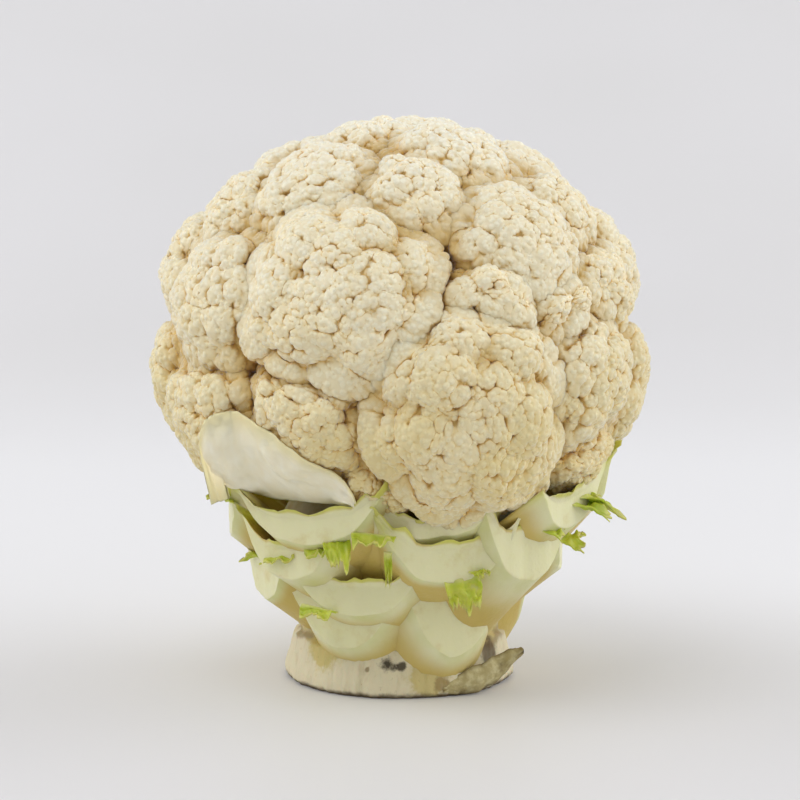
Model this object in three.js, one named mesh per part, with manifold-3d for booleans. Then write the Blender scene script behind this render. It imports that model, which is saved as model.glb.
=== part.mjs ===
// A trimmed head of cauliflower, standing on its cut stem.
// Units are millimetres and +Z points up. The origin is the middle of the flat cut under the stem,
// and the front of the head faces -Y. Azimuths turn from the front (-Y) towards +X.

import * as THREE from 'three';
import { mergeVertices } from 'three/addons/utils/BufferGeometryUtils.js';
import Module from 'manifold-3d';

const wasm = await Module();
wasm.setup();

// ---------------------------------------------------------------- driving dimensions

// The curd: its outline is a squashed ball, flatter below than above.
const CURD_RADIUS = 82.5;
const CURD_MIDDLE_Z = 112;
const CURD_CROWN = 74.5;
const CURD_UNDERSIDE = 62;
const ROUND_POWER = 2;
const FLAT_POWER = 2.6;

// The heart: the end of the stem inside the curd, from which every floret's stalk grows.
const HEART_Z = 92;
const HEART_RADIUS = 28;

// Florets.
const CREASE_DEPTH = 12;
const CREST_POWER = 2.5;
const FREE_SIDE_DEPTH = 25;
const FREE_SPREAD = 1.5;
const LOWEST_ELEVATION = -40;
const STALK_TAPER = 0.5;
const LOBE_RADIUS = 9.5;
const LOBE_HEIGHT = 3.6;
const CREST_FULLNESS = 0.97;
const BIG_FLORET = 19;
const BIG_FLORET_MESH = { sides: 18, rings: 11 };
const SMALL_FLORET_MESH = { sides: 14, rings: 9 };
const STALK_RINGS = 2;
const GOLDEN_ANGLE = Math.PI * (3 - Math.sqrt(5));

// Clearance between neighbouring pieces.
const GAP = 0.45;
const LEAF_GAP = 1.3;
const CELL_GAP_ANGLE = 0.3 / 60;

// The stem, as [radius, height] up its side to the heart.
const STEM_SIDE = [
  [35, 0], [36.5, 1.5], [36.2, 4], [34.6, 9], [33.4, 15], [33.2, 22], [34, 30],
  [36, 38], [38.5, 46], [39, 54], [34, 63],
];
const HEART_START_ELEVATION = -46;
const HEART_STEPS = 7;
const STEM_SIDES = 28;

// Leaf bases.
const LEAF_START_RADIUS = 24;
const LEAF_OVERRUN = 26;
const WING_THICKNESS = 2;
const WING_START = 0.4;
const RIB_HALF_WIDTH = 0.85;
const LEAF_SECTION_STEPS = 6;
const LEAF_LENGTH_STEPS = 4;
const LEAF_BEND = 1.35;
const FACET_TOLERANCE = 0.1;
const KNIFE_SIZE = 160;

// The inner leaf: a thin remnant that lies on the lower left of the curd.
const INNER_LEAF_THICKNESS = 1.6;
const INNER_LEAF_LIFT = 1.2;
const INNER_LEAF_LEFT = -58;
const INNER_LEAF_RIGHT = -12;
const INNER_LEAF_BOTTOM = -21;
const INNER_LEAF_TOP = 3;
const INNER_LEAF_STEPS = 12;

// The skin sliver: a peel of stem skin that hangs off the right of the foot.
const SLIVER_THICKNESS = 1.8;
const SLIVER_TURN = 18;
const SLIVER_START = [22.5, -31.5, 2.2];
const SLIVER_OUTLINE = [[0, 0], [9, -1], [16, 3.5], [21, 9.5], [14, 8.5], [6, 4.5]];

// One row for each floret: name, azimuth and elevation seen from the heart, the half width of its
// head, and how far the head stands out of (+) or lies below (-) the curd's outline.
const FLORETS = [
  ['floret_front_upper', -17, 32, 34, 2.5],
  ['floret_front_lower', 18, 3, 35, 4],
  ['floret_front_small', 25, 29.5, 14, 0],
  ['floret_front_low_left', -25, -1, 20, -1],
  ['floret_front_underside', -7, -22, 16, -2],
  ['floret_crown_front', 6, 57, 19, -0.5],
  ['floret_crown_right', 38, 72, 23, 0],
  ['floret_crown_left', -38, 58, 23, 0.5],
  ['floret_crown_middle', -60, 83, 17, -1],
  ['floret_upper_right', 38, 42, 25, 1],
  ['floret_upper_right_inset', 46, 26, 15, -1],
  ['floret_shoulder_right', 67, 49, 18, -0.5],
  ['floret_right_front', 55, 9, 25, 0.5],
  ['floret_right_shoulder', 66, 29, 17, -0.5],
  ['floret_right_low', 62, -15, 18, -1],
  ['floret_shoulder_left', -70, 50, 19, -0.5],
  ['floret_left_front', -56, 29, 25, 0.5],
  ['floret_left_low', -57, -4, 25, 1],
  ['floret_left_side', -91, 4, 24, 0],
  ['floret_left_side_upper', -93, 33, 20, 0.5],
  ['floret_right_side', 88, 4, 25, 0],
  ['floret_right_side_upper', 94, 34, 23, 1],
  ['floret_back_right_low', 123, -3, 25, 1],
  ['floret_back_right_upper', 128, 31, 25, 0],
  ['floret_back_right_crown', 108, 60, 22, 0],
  ['floret_back_low', 160, -7, 24, -1],
  ['floret_back_middle', 164, 24, 25, 2],
  ['floret_back_upper', 170, 52, 23, 0],
  ['floret_back_crown', 150, 77, 21, 0],
  ['floret_back_left_low', -161, -1, 24, 0],
  ['floret_back_left_upper', -156, 32, 20, 0.5],
  ['floret_left_back_low', -126, -5, 25, 1],
  ['floret_left_back_upper', -124, 30, 23, 0],
  ['floret_left_back_crown', -120, 61, 21, 0],
];

// One row for each leaf base, the inner ones first: name, azimuth, the distance from the stem's axis
// to the knife cut, the height of the cut's upper edge, the lean of the base from upright, its half
// width, its thickness along the midrib and how far its wings curl up.
const LEAVES = [
  ['leaf_inner_front', 9, 56, 60, 42, 20, 4, 2],
  ['leaf_upper_right', 58, 66, 67, 47, 25, 8, 5],
  ['leaf_upper_front', 16, 57, 54, 60, 27, 11, 9],
  ['leaf_upper_left', -29, 60, 63, 57, 28, 8, 5],
  ['leaf_upper_back_right', 108, 66, 64, 46, 25, 9, 5],
  ['leaf_upper_back', 163, 62, 59, 49, 26, 9, 6],
  ['leaf_upper_back_left', -145, 65, 62, 47, 24, 9, 5],
  ['leaf_upper_left_side', -84, 56, 60, 49, 21, 9, 5],
  ['leaf_middle_left', -40, 55, 51, 58, 22, 9.5, 8],
  ['leaf_middle_right', 43, 60, 57, 46, 22, 12, 6],
  ['leaf_middle_right_side', 86, 53, 48, 50, 21, 9, 7],
  ['leaf_middle_back_right', 134, 52, 48, 50, 22, 10, 7],
  ['leaf_middle_back_left', -166, 50, 44, 55, 22, 10, 7],
  ['leaf_middle_left_back', -116, 53, 48, 50, 21, 10, 7],
  ['leaf_middle_left_side', -66, 48, 42, 52, 19, 10, 6],
  ['leaf_middle_front', -17, 48, 40, 58, 27, 9.5, 8],
  ['leaf_lower_left', -27, 40, 33, 38, 24, 10, 3],
  ['leaf_lower_right', 26, 40.5, 40, 27, 24, 12, 3],
  ['leaf_lower_back_right', 112, 40, 33, 33, 20, 11, 4],
  ['leaf_lower_back_left', -128, 41, 34, 35, 21, 11, 4],
];

// The finishes.
const CURD_CREAM = { color: 0xede6cc, roughness: 0.78, metalness: 0 };
const LEAF_WHITE = { color: 0xdfe2b4, roughness: 0.5, metalness: 0 };
const INNER_LEAF_CREAM = { color: 0xe3dfc8, roughness: 0.45, metalness: 0 };
const STEM_CORK = { color: 0xd3c8a4, roughness: 0.85, metalness: 0 };
const SKIN_OLIVE = { color: 0xa3966a, roughness: 0.8, metalness: 0 };

// ---------------------------------------------------------------- directions and the outline

const radians = THREE.MathUtils.degToRad;
const lerp = THREE.MathUtils.lerp;

function direction(azimuth, elevation) {
  const a = radians(azimuth);
  const e = radians(elevation);
  return new THREE.Vector3(Math.cos(e) * Math.sin(a), -Math.cos(e) * Math.cos(a), Math.sin(e));
}

function isInsideCurd(point) {
  const above = point.z > CURD_MIDDLE_Z;
  const power = above ? ROUND_POWER : FLAT_POWER;
  const half = above ? CURD_CROWN : CURD_UNDERSIDE;
  const across = Math.hypot(point.x, point.y) / CURD_RADIUS;
  const up = Math.abs(point.z - CURD_MIDDLE_Z) / half;
  return across ** power + up ** power < 1;
}

// Distance from the heart to the curd's outline along a direction.
function outlineDistance(unit) {
  let near = 0;
  let far = 2 * CURD_RADIUS;
  const point = new THREE.Vector3();
  for (let halving = 0; halving < 24; halving += 1) {
    const middle = (near + far) / 2;
    point.copy(unit).multiplyScalar(middle);
    point.z += HEART_Z;
    if (isInsideCurd(point)) near = middle;
    else far = middle;
  }
  return near;
}

// ---------------------------------------------------------------- solids

// A closed geometry with shared vertices and nothing but positions.
function welded(geometry) {
  const bare = geometry.clone();
  bare.deleteAttribute('normal');
  bare.deleteAttribute('uv');
  return mergeVertices(bare, 1e-4);
}

function solidOf(geometry) {
  const closed = welded(geometry);
  return new wasm.Manifold(new wasm.Mesh({
    numProp: 3,
    vertProperties: new Float32Array(closed.attributes.position.array),
    triVerts: new Uint32Array(closed.index.array),
  }));
}

function geometryOf(solid) {
  const mesh = solid.getMesh();
  const geometry = new THREE.BufferGeometry();
  geometry.setAttribute('position', new THREE.BufferAttribute(mesh.vertProperties, 3));
  geometry.setIndex(new THREE.BufferAttribute(mesh.triVerts, 1));
  geometry.computeVertexNormals();
  return geometry;
}

// The same closed shape, swollen along its normals, for cutting a clearance into a neighbour.
function grown(geometry, distance) {
  const closed = welded(geometry);
  closed.computeVertexNormals();
  const position = closed.attributes.position;
  const normal = closed.attributes.normal;
  for (let i = 0; i < position.count; i += 1) {
    position.setXYZ(
      i,
      position.getX(i) + distance * normal.getX(i),
      position.getY(i) + distance * normal.getY(i),
      position.getZ(i) + distance * normal.getZ(i),
    );
  }
  return closed;
}

// The largest body that a cut leaves, without the slivers beside it.
function mainBody(solid) {
  const bodies = solid.simplify(FACET_TOLERANCE).decompose();
  bodies.sort((a, b) => b.volume() - a.volume());
  return bodies[0];
}

function moveVertices(geometry, place) {
  const position = geometry.attributes.position;
  const point = new THREE.Vector3();
  for (let i = 0; i < position.count; i += 1) {
    point.fromBufferAttribute(position, i);
    place(point);
    position.setXYZ(i, point.x, point.y, point.z);
  }
  return geometry;
}

// ---------------------------------------------------------------- the stem

// One grown piece: the cut foot, the stump and the heart inside the curd.
function stemGeometry() {
  const profile = [new THREE.Vector2(0, 0)];
  for (const [radius, height] of STEM_SIDE) profile.push(new THREE.Vector2(radius, height));
  for (let step = 0; step < HEART_STEPS; step += 1) {
    const elevation = radians(lerp(HEART_START_ELEVATION, 90, step / HEART_STEPS));
    profile.push(new THREE.Vector2(
      HEART_RADIUS * Math.cos(elevation),
      HEART_Z + HEART_RADIUS * Math.sin(elevation),
    ));
  }
  profile.push(new THREE.Vector2(0, HEART_Z + HEART_RADIUS));
  return new THREE.LatheGeometry(profile, STEM_SIDES).rotateX(Math.PI / 2);
}

// ---------------------------------------------------------------- the florets

// Each floret owns the cone of directions that is nearer to its own head than to any other.
class Floret {
  constructor([name, azimuth, elevation, halfWidth, rise]) {
    this.name = name;
    this.axis = direction(azimuth, elevation);
    this.across = direction(azimuth, elevation + 90);
    this.beside = new THREE.Vector3().crossVectors(this.across, this.axis);
    this.halfWidth = halfWidth;
    this.rise = rise;
    this.halfAngle = Math.atan(halfWidth / outlineDistance(this.axis));
    this.weighted = this.axis.clone().divideScalar(Math.cos(this.halfAngle));
  }

  // The unit vector at an angle off the axis, turned round it.
  ray(angle, turn) {
    return this.axis.clone().multiplyScalar(Math.cos(angle))
      .addScaledVector(this.across, Math.sin(angle) * Math.cos(turn))
      .addScaledVector(this.beside, Math.sin(angle) * Math.sin(turn));
  }

  // The angle at which a neighbour takes over.
  neighbourLimit(turn, others) {
    const sideways = this.ray(Math.PI / 2, turn);
    let limit = Math.PI / 2;
    for (const other of others) {
      if (other === this) continue;
      const wall = this.weighted.clone().sub(other.weighted);
      const towards = -sideways.dot(wall);
      if (towards > 0) limit = Math.min(limit, Math.atan(this.axis.dot(wall) / towards));
    }
    return limit - CELL_GAP_ANGLE;
  }

  // The angle at which the head meets the open space under the curd.
  undersideLimit(turn) {
    let near = 0;
    let far = Math.PI / 2;
    const lowest = Math.sin(radians(LOWEST_ELEVATION));
    for (let halving = 0; halving < 20; halving += 1) {
      const middle = (near + far) / 2;
      if (this.ray(middle, turn).z > lowest) near = middle;
      else far = middle;
    }
    return near;
  }

  // Small rounded lobes in a golden-angle spiral round the axis.
  lobeHeight(angle, turn, distance) {
    const count = Math.round((this.halfWidth / LOBE_RADIUS) ** 2 * 1.6) + 1;
    const east = angle * distance * Math.cos(turn);
    const north = angle * distance * Math.sin(turn);
    let height = 0;
    for (let seed = 0; seed < count; seed += 1) {
      const radius = this.halfWidth * Math.sqrt((seed + 0.5) / count);
      const away = Math.hypot(
        east - radius * Math.cos(seed * GOLDEN_ANGLE),
        north - radius * Math.sin(seed * GOLDEN_ANGLE),
      ) / LOBE_RADIUS;
      height = Math.max(height, LOBE_HEIGHT * Math.sqrt(Math.max(0, 1 - away * away)));
    }
    return height;
  }

  // A head, rounded off into the creases round it, on a stalk that narrows towards the heart.
  geometry(others) {
    const { sides, rings } = this.halfWidth > BIG_FLORET ? BIG_FLORET_MESH : SMALL_FLORET_MESH;
    const headRings = rings - 1 - STALK_RINGS;
    const ball = new THREE.SphereGeometry(1, sides, rings);
    moveVertices(ball, (point) => {
      const ring = Math.round((Math.acos(point.y) / Math.PI) * rings);
      const turn = Math.atan2(point.z, point.x);
      const limit = this.neighbourLimit(turn, others);
      const open = Math.min(FREE_SPREAD * this.halfAngle, this.undersideLimit(turn));
      const edge = Math.min(limit, open);
      const freedom = THREE.MathUtils.smoothstep((limit - edge) / this.halfAngle, 0, 0.3);
      const depth = lerp(CREASE_DEPTH, FREE_SIDE_DEPTH, freedom);
      const share = Math.min(ring / headRings, 1);
      const angle = edge * Math.sin((share * Math.PI) / 2);
      const across = CREST_FULLNESS * Math.sin((share * Math.PI) / 2);
      const crest = (1 - across ** CREST_POWER) ** (1 / CREST_POWER);
      const unit = this.ray(angle, turn);
      const outline = outlineDistance(unit);
      let distance = outline + this.rise - LOBE_HEIGHT - depth * (1 - crest);
      distance += this.lobeHeight(angle, turn, outline) * crest ** 0.5;
      if (ring <= headRings) {
        point.copy(unit).multiplyScalar(distance);
      } else {
        const down = Math.min((ring - headRings) / STALK_RINGS, 1);
        const narrow = lerp(1, STALK_TAPER, down ** 0.7);
        const stalkAngle = ring === rings ? 0 : edge * narrow;
        const reach = lerp(distance, HEART_RADIUS + GAP, down);
        point.copy(this.ray(stalkAngle, turn)).multiplyScalar(reach);
      }
      point.z += HEART_Z;
    });
    return welded(ball);
  }
}

// ---------------------------------------------------------------- the leaf bases

// The section of a leaf base: flat on its upper face, round underneath, thin and curled at the wings.
function leafSection(thickness, curl) {
  const upper = (side) => curl * Math.max(0, (Math.abs(side) - WING_START) / (1 - WING_START)) ** 1.7;
  const bulge = (side) => Math.max(0, 1 - (side / RIB_HALF_WIDTH) ** 2) ** 0.85;
  const depth = (side) => WING_THICKNESS + (thickness - WING_THICKNESS) * bulge(side);
  const outline = [];
  for (let step = -LEAF_SECTION_STEPS; step <= LEAF_SECTION_STEPS; step += 1) {
    const side = step / LEAF_SECTION_STEPS;
    outline.push(new THREE.Vector2(side, upper(side) - depth(side)));
  }
  for (let step = LEAF_SECTION_STEPS; step >= -LEAF_SECTION_STEPS; step -= 1) {
    const side = step / LEAF_SECTION_STEPS;
    outline.push(new THREE.Vector2(side, upper(side)));
  }
  return new THREE.Shape(outline);
}

// A leaf base leans out from the stem, bends round it and ends at an upright knife cut.
function leafGeometry([, azimuth, cutRadius, cutTop, lean, halfWidth, thickness, curl]) {
  const slope = radians(lean);
  const run = cutRadius - LEAF_START_RADIUS;
  const startZ = cutTop - run / Math.tan(slope);
  const length = run / Math.sin(slope) + LEAF_OVERRUN;
  const bar = new THREE.ExtrudeGeometry(leafSection(thickness, curl), {
    depth: 1,
    steps: LEAF_LENGTH_STEPS,
    bevelEnabled: false,
  });
  return moveVertices(bar, (point) => {
    const along = point.z * length;
    const out = LEAF_START_RADIUS + along * Math.sin(slope) - point.y * Math.cos(slope);
    const up = startZ + along * Math.cos(slope) + point.y * Math.sin(slope);
    const bend = Math.max(out, LEAF_START_RADIUS) * LEAF_BEND;
    const turn = (point.x * halfWidth) / bend;
    const heading = direction(azimuth, 0);
    const sideways = direction(azimuth + 90, 0);
    const outward = out - bend * (1 - Math.cos(turn));
    point.copy(heading).multiplyScalar(outward).addScaledVector(sideways, bend * Math.sin(turn));
    point.z = up;
  });
}

// The part of space that the trimming knife took away from a leaf.
function knifeGeometry([, azimuth, cutRadius], clearance) {
  const block = new THREE.BoxGeometry(KNIFE_SIZE, KNIFE_SIZE, KNIFE_SIZE);
  block.translate(0, -(cutRadius + clearance + KNIFE_SIZE / 2), 0);
  return block.rotateZ(radians(azimuth));
}

// ---------------------------------------------------------------- the inner leaf and the sliver

// A thin sheet that hugs the curd's outline, highest near its left end. Its box is bent from a
// block with x along the azimuth, y along the elevation and z through the sheet.
function innerLeafGeometry() {
  const block = new THREE.BoxGeometry(1, 1, INNER_LEAF_THICKNESS, INNER_LEAF_STEPS, 5, 1);
  return moveVertices(block, (point) => {
    const along = point.x + 0.5;
    const rise = Math.sin(Math.PI * along ** 0.55) ** 0.6;
    const bottom = INNER_LEAF_BOTTOM;
    const top = lerp(bottom + 3, INNER_LEAF_TOP, rise);
    const azimuth = lerp(INNER_LEAF_LEFT, INNER_LEAF_RIGHT, along);
    const unit = direction(azimuth, lerp(bottom, top, point.y + 0.5));
    const distance = outlineDistance(unit) + INNER_LEAF_LIFT + point.z;
    point.copy(unit).multiplyScalar(distance);
    point.z += HEART_Z;
  });
}

// A strip of peeled skin that starts at the foot and rises outwards.
function sliverGeometry() {
  const outline = new THREE.Shape();
  outline.setFromPoints(SLIVER_OUTLINE.map(([along, up]) => new THREE.Vector2(along, up)));
  const strip = new THREE.ExtrudeGeometry(outline, { depth: SLIVER_THICKNESS, bevelEnabled: false });
  strip.rotateX(Math.PI / 2).rotateZ(radians(SLIVER_TURN));
  return strip.translate(...SLIVER_START);
}

// ---------------------------------------------------------------- assembly

function namedMesh(name, geometry, finish) {
  const mesh = new THREE.Mesh(geometry, new THREE.MeshStandardMaterial(finish));
  mesh.name = name;
  return mesh;
}

function buildCauliflower() {
  const cauliflower = new THREE.Group();
  const stem = stemGeometry();
  cauliflower.add(namedMesh('stem', stem, STEM_CORK));

  const florets = FLORETS.map((row) => new Floret(row));
  const obstacles = [solidOf(grown(stem, GAP))];
  for (const floret of florets) {
    const geometry = floret.geometry(florets);
    cauliflower.add(namedMesh(floret.name, geometry, CURD_CREAM));
    obstacles.push(solidOf(grown(geometry, GAP)));
  }

  const clear = (geometry) => {
    let solid = solidOf(geometry);
    for (const obstacle of obstacles) solid = solid.subtract(obstacle);
    return solid;
  };

  const innerLeaf = geometryOf(mainBody(clear(innerLeafGeometry())));
  cauliflower.add(namedMesh('inner_leaf', innerLeaf, INNER_LEAF_CREAM));
  obstacles.push(solidOf(grown(innerLeaf, GAP)));

  for (const row of LEAVES) {
    const whole = leafGeometry(row);
    const trimmed = clear(whole).subtract(solidOf(knifeGeometry(row, 0)));
    const leaf = geometryOf(mainBody(trimmed));
    cauliflower.add(namedMesh(row[0], leaf, LEAF_WHITE));
    obstacles.push(solidOf(grown(whole, LEAF_GAP)).subtract(solidOf(knifeGeometry(row, LEAF_GAP))));
  }

  const sliver = geometryOf(mainBody(clear(sliverGeometry())));
  cauliflower.add(namedMesh('skin_sliver', sliver, SKIN_OLIVE));
  return cauliflower;
}

export default buildCauliflower();
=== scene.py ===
"""A trimmed head of cauliflower on its cut stem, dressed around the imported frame.

All places are in metres in the frame's own axes: +Z up, the front towards -Y.
"""

import logging
import math
from dataclasses import dataclass
from enum import Enum

import bmesh
import bpy
import numpy as np
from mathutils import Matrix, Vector, kdtree, noise
from mathutils.bvhtree import BVHTree


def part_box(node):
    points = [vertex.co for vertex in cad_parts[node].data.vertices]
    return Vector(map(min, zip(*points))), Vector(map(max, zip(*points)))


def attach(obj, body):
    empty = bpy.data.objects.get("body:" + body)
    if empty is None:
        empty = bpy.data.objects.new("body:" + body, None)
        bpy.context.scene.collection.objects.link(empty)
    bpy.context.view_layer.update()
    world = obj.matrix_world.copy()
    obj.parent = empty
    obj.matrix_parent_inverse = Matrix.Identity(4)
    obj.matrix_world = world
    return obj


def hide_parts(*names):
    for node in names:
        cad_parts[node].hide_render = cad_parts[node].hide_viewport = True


LOG = logging.getLogger("cauliflower")

MM = 0.001
GOLDEN_ANGLE = math.pi * (3.0 - math.sqrt(5.0))
HEART = Vector((0.0, 0.0, 92.0 * MM))
LARGE_FLORETS = ("floret_front_upper", "floret_front_lower")
LARGE_FLORET_CUTS = 16
FLORET_CUTS = 8
BACK_FLORET_CUTS = 6
DROOPS = {"floret_front_lower": 5.0 * MM}


class Slot(Enum):
    """The record's material slots."""

    CURD = "curd"
    LEAF = "leaf"
    INNER_LEAF = "inner_leaf"
    STEM = "stem"
    SKIN = "skin"


def srgb(red: float, green: float, blue: float) -> tuple[float, float, float, float]:
    """Turn a display colour of 0 to 255 into the linear colour that a socket holds.

    Args:
        red: Red, 0 to 255.
        green: Green, 0 to 255.
        blue: Blue, 0 to 255.

    Returns:
        Linear red, green, blue and an alpha of 1.
    """
    def linear(value: float) -> float:
        share = value / 255.0
        return share / 12.92 if share <= 0.04045 else ((share + 0.055) / 1.055) ** 2.4

    return linear(red), linear(green), linear(blue), 1.0


# ------------------------------------------------------------------ materials


@dataclass(frozen=True)
class Gloss:
    """How a surface scatters light.

    Attributes:
        roughness: Its roughness.
        specular: The strength of its reflection.
        glow: How much light passes through it.
        glow_colours: How far red, green and blue light travel in it, as shares of its depth.
        glow_depth: That depth, in metres.
        smooth_glow: Whether to use the plain scattering model, which does not darken folded surfaces.
        fuzz: How much it pales at a grazing angle.
        fuzz_roughness: The roughness of that sheen.
    """

    roughness: float
    specular: float = 0.5
    glow: float = 0.0
    glow_colours: tuple[float, float, float] = (1.0, 0.2, 0.1)
    glow_depth: float = 1.5 * MM
    smooth_glow: bool = False
    fuzz: float = 0.0
    fuzz_roughness: float = 0.5


class Shader:
    """A short way to wire one material's nodes."""

    def __init__(self, name: str) -> None:
        """Make an empty node material with one Principled shader.

        Args:
            name: The material's name.
        """
        self.material = bpy.data.materials.new(name)
        self.material.use_nodes = True
        self.tree = self.material.node_tree
        self.tree.nodes.clear()
        output = self.node("ShaderNodeOutputMaterial")
        self.surface = self.node("ShaderNodeBsdfPrincipled")
        self.link(self.surface, "BSDF", output, "Surface")
        self.place = self.node("ShaderNodeTexCoord").outputs["Object"]

    def node(self, kind: str, **settings: object) -> bpy.types.Node:
        """Add a node and set its plain properties.

        Args:
            kind: The node's type name.
            settings: Property names and values.

        Returns:
            The new node.
        """
        made = self.tree.nodes.new(kind)
        for key, value in settings.items():
            setattr(made, key, value)
        return made

    def link(self, source: bpy.types.Node, out: str, target: bpy.types.Node, into: str) -> None:
        """Join one node's output to another's input, by name."""
        self.tree.links.new(source.outputs[out], target.inputs[into])

    def feed(self, target: bpy.types.NodeSocket, value: object) -> None:
        """Give an input a link when the value is a socket, and a plain value when it isn't."""
        if isinstance(value, bpy.types.NodeSocket):
            self.tree.links.new(value, target)
        else:
            target.default_value = value

    def attribute(self, name: str) -> bpy.types.NodeSocket:
        """Read a value that the mesh carries on its points."""
        return self.node("ShaderNodeAttribute", attribute_name=name).outputs["Fac"]

    def noise(self, scale: float, detail: float = 4.0, roughness: float = 0.5) -> bpy.types.NodeSocket:
        """Noise on object coordinates.

        Args:
            scale: Features per metre.
            detail: Octaves.
            roughness: Share that each octave keeps.

        Returns:
            The noise value, 0 to 1.
        """
        made = self.node("ShaderNodeTexNoise")
        self.feed(made.inputs["Vector"], self.place)
        made.inputs["Scale"].default_value = scale
        made.inputs["Detail"].default_value = detail
        made.inputs["Roughness"].default_value = roughness
        return made.outputs["Fac"]

    def spread(self, value: object, low: float, high: float, to_low: float = 0.0,
               to_high: float = 1.0) -> bpy.types.NodeSocket:
        """Stretch a range of a value onto another range, smoothly and clamped."""
        made = self.node("ShaderNodeMapRange", interpolation_type="SMOOTHSTEP")
        self.feed(made.inputs["Value"], value)
        for key, number in zip(("From Min", "From Max", "To Min", "To Max"), (low, high, to_low, to_high)):
            made.inputs[key].default_value = number
        return made.outputs["Result"]

    def maths(self, operation: str, first: object, second: object = 0.0) -> bpy.types.NodeSocket:
        """One step of arithmetic."""
        made = self.node("ShaderNodeMath", operation=operation)
        self.feed(made.inputs[0], first)
        self.feed(made.inputs[1], second)
        return made.outputs[0]

    def mix(self, share: object, first: object, second: object) -> bpy.types.NodeSocket:
        """Blend two colours."""
        made = self.node("ShaderNodeMix", data_type="RGBA")
        self.feed(made.inputs[0], share)
        self.feed(made.inputs[6], first)
        self.feed(made.inputs[7], second)
        return made.outputs[2]

    def bump(self, height: object, depth: float, under: object = None) -> bpy.types.NodeSocket:
        """Turn a height into a bumped normal.

        Args:
            height: The height value.
            depth: The height's size in metres.
            under: A normal to add this bump to.

        Returns:
            The normal.
        """
        made = self.node("ShaderNodeBump")
        made.inputs["Strength"].default_value = 1.0
        made.inputs["Distance"].default_value = depth
        self.feed(made.inputs["Height"], height)
        if under is not None:
            self.feed(made.inputs["Normal"], under)
        return made.outputs["Normal"]

    def finish(self, colour: object, gloss: Gloss, normal: object = None) -> bpy.types.Material:
        """Set the surface and close the material.

        Args:
            colour: Its colour.
            gloss: How it scatters light.
            normal: Its bumps, if any.

        Returns:
            The finished material.
        """
        inputs = self.surface.inputs
        self.feed(inputs["Base Color"], colour)
        inputs["Roughness"].default_value = gloss.roughness
        inputs["Specular IOR Level"].default_value = gloss.specular
        inputs["Subsurface Weight"].default_value = gloss.glow
        inputs["Subsurface Radius"].default_value = gloss.glow_colours
        inputs["Subsurface Scale"].default_value = gloss.glow_depth
        if gloss.smooth_glow:
            self.surface.subsurface_method = "BURLEY"
        inputs["Sheen Weight"].default_value = gloss.fuzz
        inputs["Sheen Roughness"].default_value = gloss.fuzz_roughness
        if normal is not None:
            self.feed(inputs["Normal"], normal)
        return self.material

    def axis(self, name: str) -> bpy.types.NodeSocket:
        """One object coordinate: X, Y or Z."""
        parts = self.node("ShaderNodeSeparateXYZ")
        self.feed(parts.inputs[0], self.place)
        return parts.outputs[name]

    def streaks(self, across: float, along: float) -> bpy.types.NodeSocket:
        """Noise drawn out upwards, for fibres and scratches.

        Args:
            across: Features per metre round the stem.
            along: Features per metre up it.

        Returns:
            The noise value, 0 to 1.
        """
        stretch = self.node("ShaderNodeMapping")
        self.feed(stretch.inputs["Vector"], self.place)
        stretch.inputs["Scale"].default_value = (across, across, along)
        made = self.node("ShaderNodeTexNoise")
        self.feed(made.inputs["Vector"], stretch.outputs["Vector"])
        made.inputs["Scale"].default_value = 1.0
        made.inputs["Detail"].default_value = 5.0
        return made.outputs["Fac"]

    def spot(self, centre: tuple[float, float, float], radius: float, fray: float) -> bpy.types.NodeSocket:
        """A patch with a frayed edge.

        Args:
            centre: Its middle in millimetres.
            radius: Its radius in metres.
            fray: How far its edge wanders, in metres.

        Returns:
            1 inside the patch and 0 outside.
        """
        reach = self.node("ShaderNodeVectorMath", operation="DISTANCE")
        self.feed(reach.inputs[0], self.place)
        reach.inputs[1].default_value = tuple(c * MM for c in centre)
        wobble = self.maths("MULTIPLY", self.maths("SUBTRACT", self.noise(240.0, 5.0, 0.65), 0.5), 5.0 * fray)
        distance = self.maths("ADD", reach.outputs["Value"], wobble)
        return self.spread(distance, 0.55 * radius, 1.1 * radius, 1.0, 0.0)

    def nook(self, reach: float) -> bpy.types.NodeSocket:
        """How closed in a point is by the surface around it: 0 in the open, 1 in a deep nook.

        Args:
            reach: How far to look, in metres.

        Returns:
            The value, 0 to 1.
        """
        made = self.node("ShaderNodeAmbientOcclusion")
        made.samples = 8
        made.inputs["Distance"].default_value = reach
        return self.maths("SUBTRACT", 1.0, made.outputs["AO"])

    def grain(self, scale: float) -> bpy.types.NodeSocket:
        """Rounded cells, high in their middles, for beads too fine to model."""
        made = self.node("ShaderNodeTexVoronoi", feature="SMOOTH_F1")
        self.feed(made.inputs["Vector"], self.place)
        made.inputs["Scale"].default_value = scale
        made.inputs["Smoothness"].default_value = 0.25
        return self.spread(made.outputs["Distance"], 0.75, 0.0)


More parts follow.
